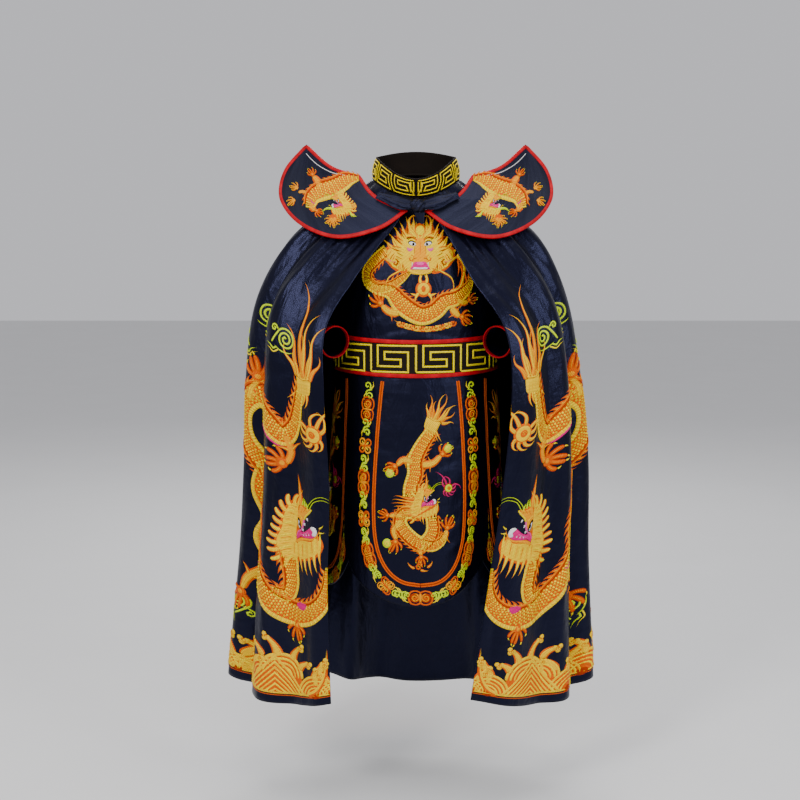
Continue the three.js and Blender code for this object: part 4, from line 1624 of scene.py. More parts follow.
def cape_dragon(side_clouds: bool) -> Stitchwork:
    """The dragon, pearl and clouds of a cape front, x out from its edge and y up from the neck seam.

    Args:
        side_clouds: True to also sew the two clouds near the cape's side.

    Returns:
        The stitching.
    """
    work = Stitchwork()
    upper = [
        (235, -805), (280, -735), (286, -668), (252, -624), (206, -640), (166, -668), (126, -688),
        (98, -655), (82, -600), (68, -552)
    ]
    body(work, upper, (20, 24, 28, 32, 34, 31, 25, 18, 15, 17), 1)
    work.stroke([(214, -672), (180, -694), (150, -712), (126, -714)], (3, 7, 7, 3), ROSE, LEAF, 3.0)
    neck = [(116, -960), (108, -1010), (104, -1050), (116, -1082), (146, -1078)]
    body(work, neck, (22, 22, 21, 18, 12), -1)
    limb(work, [(122, -686), (110, -724), (122, -756)], 17, 4, 1.12, GOLD)
    limb(work, [(268, -640), (262, -612), (246, -588)], 17, 88, 1.1)
    work.add(claw(), 90, -1146, turn=-92, grow=0.86)
    lower = [
        (235, -800), (246, -860), (228, -930), (238, -985), (220, -1035), (190, -1080), (148, -1112),
        (98, -1126), (52, -1118), (18, -1090), (3, -1048), (2, -1000)
    ]
    body(work, lower, (20, 19, 20, 22, 25, 29, 31, 32, 29, 22, 13, 6), 1)
    work.patch([(58, -1094), (78, -1090), (92, -1100), (76, -1112), (60, -1108)], ROSE, 3.2)
    work.stroke([(240, -1024), (222, -1034), (202, -1030)], (3, 6, 3), ROSE, LEAF, 3.2)
    limb(work, [(232, -1056), (268, -1092), (282, -1128)], 16, -64)
    work.add(profile_head(), 86, -908, grow=0.94)
    tuft = ((-17, 104, 100, 34), (-6, 240, 84, 34), (9, 176, 100, -30), (17, 128, 80, 34), (24, 84, 60, -40))
    tuft += ((-25, 76, 120, 40), (-12, 150, 104, -26), (1, 120, 92, 40), (19, 70, 74, -44))
    work.add(tail_tuft(tuft), 62, -530)
    work.add(pearl(), 36, -662, turn=4)
    places = [(120, -455, 0, True), (212, -424, 18, False), (300, -500, -10, False), (292, -1165, 84, False)]
    if side_clouds:
        places += [(350, -930, 70, True), (346, -770, 20, False)]
    for x, y, turn, flip in places:
        work.add(cloud(), x, y, turn, 1.0, flip)
    return work


HEM_LINE = -1332.0


def hem_stitching(first: float, last: float, edge: bool) -> Stitchwork:
    """The hem's waves and mountains, from first to last along the hem.

    Args:
        first: Where the middle of the first mountain lies.
        last: Where the last one lies.
        edge: Carries a wave up the front edge.

    Returns:
        The stitching, in the cape's plan.
    """
    work = Stitchwork()
    work.course(Unit.WAVE, [(first, HEM_LINE), (last, HEM_LINE)], 300)
    if edge:
        sweep = [
            (60, HEM_LINE), (32, HEM_LINE + 14), (14, HEM_LINE + 44), (7, HEM_LINE + 84), (4, HEM_LINE + 122)
        ]
        work.stroke(sweep, (20, 22, 18, 12, 4), ORANGE, LASH, 2.6)
        work.stroke([(x + 2, y + 2) for x, y in sweep], (12, 14, 12, 8, 3), YELLOW, LASH, 3.2)
        for x, y in ((34, HEM_LINE + 26), (20, HEM_LINE + 62)):
            wave_crest(work, x, y, 30, 70, 70)
    return work


def mirrored(side: int, points: Points) -> list[tuple[float, float]]:
    """Points of one half of a symmetric shape, on the side given as 1 or -1."""
    return [(side * x, y) for x, y in points]


def turned(side: int, angle: float) -> float:
    """An angle in degrees, mirrored left to right where side is -1."""
    return angle if side > 0 else 180 - angle


WHISKER = ((28, 14), (54, 2), (78, -14), (82, -40), (62, -48))
CHEST_STROKES = (
    (((5, 68), (12, 81), (24, 85), (38, 80)), (4, 8, 7, 3), ORANGE, LEAF, 4.6),
    (((9, 76), (20, 86), (36, 84)), (2, 4, 2), STRAW, LEAF, 5.2),
    (((9, 88), (12, 66), (14, 46), (10, 36)), (2, 3, 4, 2), EMBER, LEAF, 4.2),
    (((5, 32), (12, 35), (18, 31), (19, 25)), (2.4, 4, 4, 2.4), EMBER, LEAF, 4.9),
    (WHISKER, (8, 7, 6, 5, 3), ORANGE, LASH, 2.6),
    (WHISKER, (5, 4, 4, 3, 2), STRAW, LASH, 3.2),
    (((84, 36), (66, 26), (46, 26)), (4, 6, 3), ROSE, LEAF, 3.4),
    (((19, 25), (19, 16), (22, 9)), (4, 3.4, 2), WHITE, LASH, 5.0),
    *(
        (((x, y), (x + 9, y + 3), (x + 20, y + 9)), (1.6, 3, 1.6), EMBER, LEAF, 4.8)
        for x, y in ((38, 40), (41, 32), (44, 24))
    ),
)
CHEST_CURLS = (
    (60, 24, 14, 2.5, 1.5, 5.0, STRAW, 4.4), (60, 24, 9, 2.5, 0.9, 2.6, EMBER, 5.0),
    (22, 34, 8.5, 1.6, 1.1, 3.6, ORANGE, 4.3),
)
CHEST_PATCHES = (
    (
        (
            (-62, 34), (-58, 60), (-40, 84), (-24, 104), (24, 104), (40, 84), (58, 60), (62, 34), (46, 12),
            (20, -4), (-20, -4), (-46, 12),
        ),
        YELLOW,
        2.4,
    ),
    (
        ((-22, 6), (-30, 30), (-32, 60), (-22, 84), (0, 92), (22, 84), (32, 60), (30, 30), (22, 6), (0, -2)),
        YELLOW, 3.4,
    ),
    (
        ((-12, 84), (-15, 60), (-20, 34), (-24, 18), (24, 18), (20, 34), (15, 60), (12, 84), (0, 90)), GOLD,
        3.9
    ),
    (((-17, 28), (-8, 31), (0, 29), (8, 31), (17, 28), (24, 14), (25, 7), (-25, 7), (-24, 14)), ROSE, 4.2),
    (((-12, 26), (0, 27), (12, 26), (13, 18), (0, 15), (-13, 18)), BLUSH, 4.7),
    (((-20, 14), (0, 12.5), (20, 14), (22, 9), (0, 8), (-22, 9)), WHITE, 4.9),
)
CHEEK = ((30, 0), (52, 4), (70, 16), (84, 34), (84, 56), (66, 62), (46, 40), (34, 20))
HORN = ((14, 92), (25, 108), (27, 124), (18, 136), (6, 132))
ALMOND = (
    (-1, -0.4), (-0.75, 0.3), (-0.2, 0.85), (0.4, 0.9), (1, 0.35), (0.55, -0.35), (-0.1, -0.8),
    (-0.65, -0.85)
)


def chest_half(work: Stitchwork, side: int) -> None:
    """Stitches what the medallion's looking-out face has once on each side.

    Args:
        work: What it is stitched in.
        side: 1 or -1.
    """
    for k in range(15):
        t = k / 14
        x, y, angle = side * (14 + 74 * t**0.9), 116 - 80 * t**1.15, turned(side, 96 - 66 * t)
        c, s = aim(angle)
        length = 24 + (10, 0, 14, 5)[k % 4] + 12 * math.sin(math.pi * t)
        lock = ray(x - 12 * c, y - 12 * s, length, angle, side * (26 if k % 2 else -22))
        shade = (YELLOW, STRAW, YELLOW, GOLD)[k % 4]
        edge = ((16, 16, 13, 10, 7, 4), ORANGE, 1.5 + 0.12 * (k % 3))
        work.bands(
            [(x - 40 * c, y - 40 * s), *lock], LASH, edge, ((11, 11, 9, 7, 5, 2), shade, 2.2 + 0.2 * (k % 3))
        )
    edged(work, mirrored(side, CHEEK), YELLOW, 2.7)
    for k in range(9):
        lock = ray(
            side * (34 + 5.5 * k), 4 + 0.55 * k * k, 26, 90 - side * (30 - 7 * k),
            side * (50 if k % 2 else 20)
        )
        work.stroke(lock, (2, 3.2, 3.2, 2), (ORANGE, EMBER, GOLD)[k % 3], LASH, 4.6)
    for k in range(7):
        angle = turned(side, 96 - 20 * k)
        c, s = aim(angle)
        lock = ray(side * 24 + 12 * c, 44 + 14 * s, 40, angle, side * 24)
        work.stroke(lock, (13, 12, 9, 6, 3), (YELLOW, STRAW)[k % 2], LASH, 3.0 + 0.15 * (k % 2))
        lock = mirrored(side, ((3 + 2 * k, 78 + k), (7 + 4.4 * k, 100 - 2 * k), (10 + 6.6 * k, 122 - 5 * k)))
        work.stroke(lock, (5, 7.5, 3), (STRAW, GOLD, YELLOW)[k % 3], LASH, 3.6 + 0.1 * (k % 3))
    for x, y, start, end, turns, width, thread, height in CHEST_CURLS:
        work.stroke(curl(side * x, y, start, end, 90, side * turns), width, thread, height=height)
    lined(work, mirrored(side, HORN), (9, 9, 8, 6, 3), YELLOW, 3.6)
    work.patch(mirrored(side, ((14, 59), (24, 57), (33, 61), (31, 52), (21, 49))), BLUSH, 4.2)
    for y, wide, high, shade, lift in ((69, 13.5, 9.5, INK, 4.2), (68.4, 11.5, 7.4, WHITE, 4.7)):
        work.patch([(side * (19 + wide * a), y + high * b) for a, b in ALMOND], shade, lift)
    work.disc(side * 16.5, 67.6, 4.6, INK, 5.2)
    for points, width, thread, taper, height in CHEST_STROKES:
        work.stroke(mirrored(side, points), width, thread, taper, height)
    for k in range(6):
        angle = 90 - side * (16 * k - 34)
        c, s = aim(angle)
        work.stroke(ray(side * 20 + 10.5 * c, 72 + 9 * s, 9, angle), 3.0, INK, LASH, 5.3)
    for k in range(8):
        angle = 90 - side * (2 + 12 * k)
        c, s = aim(angle)
        seam = ray(side * 26 + 16 * c, 48 + 38 * s, 30, angle, side * (26 if k % 2 else -20))
        work.stroke(seam, (1.6, 3, 3, 1.6), (ORANGE, EMBER)[k % 2], LEAF, 4.7)


def chest_medallion() -> Stitchwork:
    """The chest's medallion of a coiled dragon that looks out, about 280 across.

    Returns:
        The stitching.
    """
    work = Stitchwork()
    for k in range(17):
        way = 1 if k % 2 else -1
        roll = curl(-50 + 8.2 * k, -121 - 12 * math.sin(math.pi * k / 16), 8, 2, 90 + 60 * way, 1.2 * way)
        work.stroke(roll, 4.6, (GOLD, ORANGE, YELLOW)[k % 3], height=1.7)
    work.stroke([(-64, -112), (-30, -132), (6, -138), (44, -134), (82, -118)], 4, GOLD, LEAF, 1.6)
    loop = [(-84, 54), (-112, 30), (-134, 6), (-132, -22), (-104, -38), (-72, -32), (-44, -14), (-26, 0)]
    body(work, loop, (14, 16, 15, 14, 14, 12, 9, 4), -1, 10, 13, 0.6)
    tail = [(94, 44), (112, 20), (110, -8), (98, -36), (74, -44)]
    work.bands(tail, EVEN, ((20, 18, 12, 10, 8), ORANGE, 1.6), ((15, 13, 8, 6, 4), YELLOW, 2.3))
    arc = [
        (-136, -16), (-112, -38), (-72, -46), (-44, -76), (0, -102), (36, -92), (60, -70), (90, -62),
        (124, -36), (134, -14)
    ]
    body(work, arc, (8, 13, 18, 24, 23, 21, 20, 18, 13, 6), -1, 11, 12, 0.62)
    limb(work, [(-50, -96), (-76, -92), (-94, -78)], 17, 128, 0.72, YELLOW)
    limb(work, [(76, -84), (92, -100), (100, -104)], 16, -24, 0.62)
    limb(work, [(92, -66), (112, -72), (122, -68)], 14, 16, 0.52)
    for k in range(3):
        work.stroke(ray(96 + 7 * k, 30 - 12 * k, 40, -78 + 8 * k, -30), (8, 7, 5, 4, 2), ORANGE, LASH, 2.4)
    for side in (-1, 1):
        chest_half(work, side)
    for points, thread, height in CHEST_PATCHES:
        work.patch(points, thread, height)
    work.stroke([(0, 34), (0, 60), (0, 84)], (16, 12, 8), ORANGE, LEAF, 4.2)
    work.disc(0, 101, 15, ORANGE, 3.6, 1.2)
    work.disc(0, 100, 12.5, STRAW, 4.3, 1.16)
    work.stroke([(-32, 8), (-16, 0), (0, -2), (16, 0), (32, 8)], 5.0, YELLOW, height=3.8)
    for angle, bend in ((116, -60), (64, 60), (-140, 60), (-40, -60)):
        c, s = aim(angle)
        for shade, wide, high in ((ORANGE, 3, 1.5), (STRAW, 0, 2.1)):
            flame = ray(8 + 13 * c, -38 + 13 * s, 30, angle, bend)
            work.stroke(flame, (9 + wide, 8 + wide, 6 + wide, 5 + wide, 3), shade, LASH, high)
            flame = ray(8 + 24 * c, -38 + 24 * s, 15, angle + (60 if c > 0 else -60))
            work.stroke(flame, (6 + wide, 5 + wide, 2), shade, LASH, high)
    for radius, thread, height, squash in (
        (20, ORANGE, 2.2, 1), (17, YELLOW, 2.8, 1), (7, ORANGE, 3.4, 1.5)
    ):
        work.disc(8, -38, radius, thread, height, squash)
    return work


def panel_dragon() -> Stitchwork:
    """The rising dragon of a skirt panel, with x from the panel's middle and y the height.

    Returns:
        The stitching.
    """
    work = Stitchwork()
    tuft = ((-20, 54, 122, 30), (-12, 84, 108, -30), (-2, 100, 92, 34), (8, 100, 84, -34), (16, 88, 68, 36))
    tuft += ((22, 66, 48, -36), (27, 48, 24, 40), (-8, 66, 104, 30), (12, 70, 72, 30))
    work.add(tail_tuft(tuft), 34, -530, turn=-22, grow=0.72)
    loop = [(28, -770), (28, -806), (4, -832), (-30, -812), (-50, -782), (-38, -758), (-10, -764)]
    body(work, loop, (15, 17, 18, 18, 17, 15, 11), -1, 11, 12, 0.6)
    body(work, [(4, -834), (30, -838), (52, -828), (62, -810)], (14, 14, 11, 7), -1, 11, 12, 0.5)
    body(
        work, [(-26, -716), (-24, -694), (-14, -662), (-14, -629), (2, -594), (26, -559)],
        (18, 18, 19, 19, 17, 15), 1, 11, 13, 0.62
    )
    limb(work, [(-18, -632), (-42, -628), (-58, -642)], 14, -150, 0.6)
    limb(work, [(2, -640), (30, -636), (50, -618)], 15, 40, 0.62)
    limb(work, [(-46, -776), (-66, -800), (-60, -824)], 15, -110, 0.62)
    limb(work, [(-44, -764), (-64, -764), (-78, -766)], 12, 170, 0.5)
    limb(work, [(54, -826), (64, -812), (66, -800)], 12, 70, 0.62)
    limb(work, [(-4, -842), (0, -854), (2, -860)], 12, -92, 0.5)
    for x, y in ((-76, -661), (68, -602), (-84, -834)):
        work.disc(x, y, 12, LIME, 2.4)
        work.disc(x, y, 8.5, STRAW, 3.0)
        work.disc(x, y, 4, LIME, 3.5)
    for k in range(7):
        lock = [
            (-2, -722 - 8 * k), (-30, -722 - 6.4 * k), (-56 - 5 * (k % 2), -716 - 8.5 * k),
            (-66 - 4 * (k % 3), -718 - 8.5 * k)
        ]
        work.stroke(lock, (10, 9, 6, 2), ORANGE, LASH, 2.6)
        work.stroke(lock, (5, 5, 3, 1), (GOLD, YELLOW)[k % 2], LASH, 3.1)
    work.stroke([(36, -738), (4, -756), (-30, -776), (-52, -780)], (9, 8, 6, 2), ORANGE, LASH, 3.6)
    face = profile_head()
    work.add(face, 8, -728, turn=-8, grow=0.5, flip=True)
    work.add(pearl(LIME, ROSE, EMBER), 70, -698, grow=0.5)
    for x, y, length, angle, bend in (
        (-14, -893, 24, 170, -60), (16, -890, 22, 16, 70), (2, -888, 22, 84, 70), (0, -896, 20, -30, 50)
    ):
        work.stroke(ray(x, y, length, angle, bend), (9, 8, 7, 6, 3), ORANGE, LASH)
        work.stroke(ray(x, y, length, angle, bend), (3, 3, 2, 1), YELLOW, LASH, 2.0)
    work.stroke(curl(-4, -890, 9, 2, 0, 1.2), 4.0, ORANGE, height=2.0)
    return work


PANEL_LINE = (
    (0, -935), (46, -928), (82, -902), (107, -858), (118, -800), (118, -710), (109, -580), (99, -480),
    (93, -434)
)
PANEL_BORDER = (
    (0, -966), (46, -960), (92, -936), (124, -894), (142, -838), (149, -770), (149, -690), (143, -600),
    (134, -500), (128, -436)
)
BORDER_STEP = 45.0


def panel_stitching() -> Stitchwork:
    """A skirt panel's dragon, its double line and the border of scrolls, knots and medallions.

    Returns:
        The stitching, in the panel's plan.
    """
    work = Stitchwork()
    work.add(panel_dragon())
    half = Stitchwork()
    line = trace(PANEL_LINE)
    for away, wide, thread, height in (
        (0, 10.5, EMBER, 0.8), (3.0, 3.8, ORANGE, 1.7), (-3.0, 3.8, ORANGE, 1.7)
    ):
        half.stroke(beside(line, np.full(len(line), away))[::3], wide, thread, height=height)
    border = trace(PANEL_BORDER)
    whole = lengths_of(border)[-1]
    for k in range(1, int((whole - 20) / BORDER_STEP) + 1):
        unit = (Unit.MEDALLION, Unit.SCROLL, Unit.KNOT, Unit.SCROLL)[k % 4]
        place = along_from(border, BORDER_STEP * k)[:2]
        half.courses.append(Course(unit, 1 if k % 2 else -1, place, np.ones(2), 500.0))
    work.add(half)
    work.add(half, flip=True)
    medal = np.array([(-1, PANEL_BORDER[0][1]), (1, PANEL_BORDER[0][1])], float)
    work.courses.append(Course(Unit.MEDALLION, 1, medal, np.ones(2), 500.0))
    return work


def wing_stitching() -> Stitchwork:
    """A wing's dragon and cloud, with x away from the neck and y the height.

    Returns:
        The stitching.
    """
    work = Stitchwork()
    for x, y, turn in ((292, 24, 20), (298, -4, -30)):
        work.add(claw(GOLD), x, y, turn=turn, grow=0.36)
    work.stroke([(266, 12), (280, 16), (290, 14)], (9, 8, 7), GOLD, height=1.9)
    limb(work, [(236, 22), (242, 40), (254, 54)], 15, 60, 0.38, GOLD)
    limb(work, [(254, -12), (252, -24), (244, -30)], 14, -150, 0.36, GOLD)
    path = [(142, 48), (158, 46), (174, 41), (203, 25), (230, 17), (251, 4), (259, -18)]
    body(work, path, (7, 14, 21, 25, 25, 21, 14), -1, 10, 12, 0.45)
    work.stroke([(258, -2), (252, -12), (240, -16)], (3, 6, 3), ROSE, LEAF, 3.0)
    work.add(claw(GOLD), 146, -16, turn=-40, grow=0.38)
    for turn in (-160, -90, -20):
        work.add(claw(GOLD), 200, -50, turn=turn, grow=0.36)
    work.disc(200, -46, 11, ORANGE, 2.2, 0.7)
    work.add(profile_head(), 184, -12, turn=-28, grow=0.36, flip=True)
    for horn in (
        [(228, -34), (216, -25), (196, -27), (176, -32)], [(168, -24), (160, -32), (154, -42), (142, -44)]
    ):
        work.stroke(horn, (3, 6, 6, 3), LIME, LEAF, 3.4)
    cord = [(274, 110), (262, 97), (246, 83), (230, 73), (210, 63), (192, 58), (174, 55)]
    work.stroke(cord, 1.9, WHITE, height=1.9)
    return work


NO_TRIS = np.zeros((0, 3), int)


def build_mesh(
    name: str,
    points: Array,
    quads: Array,
    tris: Array,
    material: Finish,
    plans: dict[str, Array] | None = None,
    shades: Array | None = None,
) -> Piece:
    """Makes a smooth mesh object in the scene.

    Args:
        name: The object's name.
        points: Its points in millimetres.
        quads: Four point numbers a row.
        tris: Three point numbers a row.
        material: Its finish.
        plans: UV maps by name, one row in millimetres for each point.
        shades: The thread's colour at each point.

    Returns:
        The object, with its place in its mesh.
    """
    mesh = bpy.data.meshes.new(name)
    mesh.vertices.add(len(points))
    mesh.vertices.foreach_set("co", (points * MM).astype(np.float32).ravel())
    corners = np.concatenate([quads.ravel(), tris.ravel()]).astype(np.int32)
    sizes = np.concatenate([np.full(len(quads), 4), np.full(len(tris), 3)])
    mesh.loops.add(len(corners))
    mesh.loops.foreach_set("vertex_index", corners)
    mesh.polygons.add(len(sizes))
    mesh.polygons.foreach_set("loop_start", (np.cumsum(sizes) - sizes).astype(np.int32))
    for layer, plan in (plans or {}).items():
        uv = mesh.uv_layers.new(name=layer)
        uv.data.foreach_set("uv", (plan[corners] * MM).astype(np.float32).ravel())
    if shades is not None:
        colour = mesh.color_attributes.new("thread", "FLOAT_COLOR", "POINT")
        colour.data.foreach_set(
            "color", np.column_stack([shades, np.ones(len(shades))]).astype(np.float32).ravel()
        )
    mesh.materials.append(material)
    mesh.update(calc_edges=True)
    mesh.shade_smooth()
    piece = bpy.data.objects.new(name, mesh)
    bpy.context.scene.collection.objects.link(piece)
    return piece


def grid_quads(rows: int, columns: int, around: bool = False, first: int = 0) -> Array:
    """Quads of a grid of points, where around joins its last column to its first.

    Args:
        rows: How many rows.
        columns: How many columns.
        around: Closes the rows.
        first: The first point's number.

    Returns:
        Four point numbers for each quad.
    """
    i = np.arange(rows - 1)[:, None]
    j = np.arange(columns if around else columns - 1)[None]
    k = (j + 1) % columns
    quads = np.stack([i * columns + j, i * columns + k, (i + 1) * columns + k, (i + 1) * columns + j], -1)
    return quads.reshape(-1, 4) + first


def outward(points: Array, faces: Array, normals: Array) -> Array:
    """The faces, all turned round if they face against the normals on the whole."""
    p = points[faces]
    facing = np.cross(p[:, 2] - p[:, 0], p[:, -1] - p[:, 1])
    return faces if (facing * normals[faces].mean(1)).sum() > 0 else faces[:, ::-1]


class Seam:
    """A geometry node tree that sews a unit along lines, at the unit's own size across and along."""

    def __init__(self) -> None:
        """Builds the tree."""
        self.tree = bpy.data.node_groups.new("sewn_along_lines", "GeometryNodeTree")
        face = self.tree.interface
        face.new_socket("Geometry", in_out="OUTPUT", socket_type="NodeSocketGeometry")
        face.new_socket("Geometry", in_out="INPUT", socket_type="NodeSocketGeometry")
        self.sockets = {
            name: face.new_socket(name, in_out="INPUT", socket_type=f"NodeSocket{kind}").identifier
            for name, kind in (("Unit", "Object"), ("Spacing", "Float"), ("Thread", "Material"))
        }
        given, made = self.add("NodeGroupInput"), self.add("NodeGroupOutput")
        curve = self.add("GeometryNodeMeshToCurve", Mesh=given.outputs["Geometry"])
        steps = self.add(
            "GeometryNodeResampleCurve", {"mode": "LENGTH"}, Curve=curve.outputs["Curve"],
            Length=given.outputs["Spacing"]
        )
        unit = self.add("GeometryNodeObjectInfo", Object=given.outputs["Unit"])
        turn = {"axis": "X", "pivot_axis": "Z"}
        tangent = self.add("GeometryNodeInputTangent").outputs["Tangent"]
        way = self.add("FunctionNodeAlignRotationToVector", turn, Vector=tangent)
        sizes = {name: self.add("GeometryNodeInputNamedAttribute", Name=name) for name in ("grow", "half")}
        scale = self.add(
            "ShaderNodeCombineXYZ", X=sizes["grow"].outputs["Attribute"],
            Y=sizes["half"].outputs["Attribute"]
        )
        scale.inputs["Z"].default_value = 1.0
        sewn = self.add(
            "GeometryNodeInstanceOnPoints",
            Points=steps.outputs["Curve"],
            Instance=unit.outputs["Geometry"],
            Rotation=way.outputs["Rotation"],
            Scale=scale.outputs["Vector"],
        )
        real = self.add("GeometryNodeRealizeInstances", Geometry=sewn.outputs["Instances"])
        dyed = self.add(
            "GeometryNodeSetMaterial", Geometry=real.outputs["Geometry"], Material=given.outputs["Thread"]
        )
        self.tree.links.new(dyed.outputs["Geometry"], made.inputs["Geometry"])

    def add(self, kind: str, options: dict[str, str] | None = None, **inputs: object) -> bpy.types.Node:
        """Adds a node, sets its options, and sets or links its inputs.

        Args:
            kind: The node's kind, without the prefix.
            options: The node's own settings.
            inputs: Values or sockets, by input name.

        Returns:
            The node.
        """
        node = self.tree.nodes.new(kind)
        for name, value in (options or {}).items():
            setattr(node, name, value)
        for name, value in inputs.items():
            if isinstance(value, Socket):
                self.tree.links.new(value, node.inputs[name])
            else:
                node.inputs[name].default_value = value
        return node


class Needle:
    """Turns stitching into meshes on the cloths."""

    def __init__(self, thread: Finish) -> None:
        """Threads the needle."""
        self.thread = thread
        self.seam = Seam()
        self.units: dict[tuple[Unit, int], Piece] = {}

    def unit(self, unit: Unit, hand: int) -> Piece:
        """The mesh of one unit, mirrored for the other hand.

        Args:
            unit: Which one.
            hand: 1, or -1 for the mirrored one.

        Returns:
            The mesh.
        """
        if (unit, hand) not in self.units:
            points, shades, grains, quads, tris = unit_stitching(unit).arrays()
            if hand < 0:
                points, quads, tris = points * (1, -1, 1), quads[:, ::-1], tris[:, ::-1]
            piece = build_mesh(
                f"unit_{unit.value}_{'left' if hand > 0 else 'right'}", points / MM, quads, tris, self.thread
            )
            for name, values in (("shade", shades), ("grain", np.pad(grains, ((0, 0), (0, 1))))):
                layer = piece.data.attributes.new(name, "FLOAT_VECTOR", "POINT")
                layer.data.foreach_set("vector", values.astype(np.float32).ravel())
            self.units[unit, hand] = piece
        return self.units[unit, hand]

    def sew(self, unit: Unit, hand: int, spacing: float, rows: list[Course]) -> tuple[Array, ...]:
        """Sews one unit along all its lines and reads the flat result back.

        Args:
            unit: What is repeated.
            hand: 1, or -1 for the mirrored one.
            spacing: Between two of them.
            rows: The courses that share them.

        Returns:
            Points, shades, grains, quads and triangles.
        """
        lines = [row.line for row in rows]
        starts = np.cumsum([0] + [len(line) for line in lines])
        mesh = bpy.data.meshes.new("lines")
        edges = [(k, k + 1) for a, b in zip(starts, starts[1:]) for k in range(a, b - 1)]
        mesh.from_pydata(np.column_stack([np.concatenate(lines), np.zeros(starts[-1])]).tolist(), edges, [])
        for name, values in (
            ("half", [row.half for row in rows]),
            ("grow", [np.full(len(row.line), row.grow) for row in rows])
        ):
            layer = mesh.attributes.new(name, "FLOAT", "POINT")
            layer.data.foreach_set("value", np.concatenate(values).astype(np.float32))
        piece = bpy.data.objects.new("lines", mesh)
        bpy.context.scene.collection.objects.link(piece)
        modifier = piece.modifiers.new("sewn", "NODES")
        modifier.node_group = self.seam.tree
        modifier[self.seam.sockets["Unit"]] = self.unit(unit, hand)
        modifier[self.seam.sockets["Spacing"]] = 0.999 * float(spacing)
        modifier[self.seam.sockets["Thread"]] = self.thread
        graph = bpy.context.evaluated_depsgraph_get()
        sewn = bpy.data.meshes.new_from_object(piece.evaluated_get(graph))
        count = len(sewn.vertices)
        points, shades, grains = np.empty((3, count * 3), np.float32)
        sewn.vertices.foreach_get("co", points)
        sewn.attributes["shade"].data.foreach_get("vector", shades)
        sewn.attributes["grain"].data.foreach_get("vector", grains)
        totals = np.empty(len(sewn.polygons), np.int32)
        sewn.polygons.foreach_get("loop_total", totals)
        corners = np.empty(len(sewn.loops), np.int32)
        sewn.loops.foreach_get("vertex_index", corners)
        begins = np.cumsum(totals) - totals
        faces = [corners[begins[totals == n][:, None] + np.arange(n)[None]] for n in (4, 3)]
        bpy.data.objects.remove(piece)
        bpy.data.meshes.remove(mesh)
        bpy.data.meshes.remove(sewn)
        return points.reshape(-1, 3), shades.reshape(-1, 3), grains.reshape(-1, 3)[:, :2], *faces

    def flat(self, work: Stitchwork) -> tuple[Array, ...]:
        """All of a work's stitching, with its courses sewn.

        Args:
            work: The stitching.

        Returns:
            Points, shades, grains, quads and triangles.
        """
        whole = Stitchwork()
        whole.add(work)
        groups: dict[tuple[Unit, int, float], list[Course]] = {}
        for row in work.courses:
            groups.setdefault((row.unit, row.hand, round(row.spacing, 1)), []).append(row)
        for (unit, hand, spacing), rows in sorted(
            groups.items(), key=lambda item: (item[0][0].value, *item[0][1:])
        ):
            whole.keep(*self.sew(unit, hand, spacing, rows))
        return whole.arrays()

    def drape(self, name: str, work: Stitchwork, cloth: Cloth, from_x: float = 0.0) -> Piece:
        """Lays stitching on a cloth, with its x = 0 at from_x in the cloth's plan.

        Args:
            name: Its name.
            work: The stitching.
            cloth: The cloth.
            from_x: Where its x = 0 goes.

        Returns:
            The draped mesh.
        """
        flat, shades, grains, quads, tris = self.flat(work)
        points = cloth.place(from_x + flat[:, 0], flat[:, 1], flat[:, 2])
        under = cloth.place(from_x + flat[:, 0], flat[:, 1], np.full(len(flat), -5.0))
        turned = [outward(points, faces, points - under) for faces in (quads, tris)]
        piece = build_mesh(name, points, *turned, self.thread, {"grain": grains}, shades)
        LOG.info("%s: %d points", name, len(points))
        return piece

    def put_away(self) -> None:
        """Removes the units' own meshes."""
        for piece in self.units.values():
            bpy.data.objects.remove(piece)
        bpy.data.node_groups.remove(self.seam.tree)


Triple = tuple[float, float, float]
Socket = bpy.types.NodeSocket


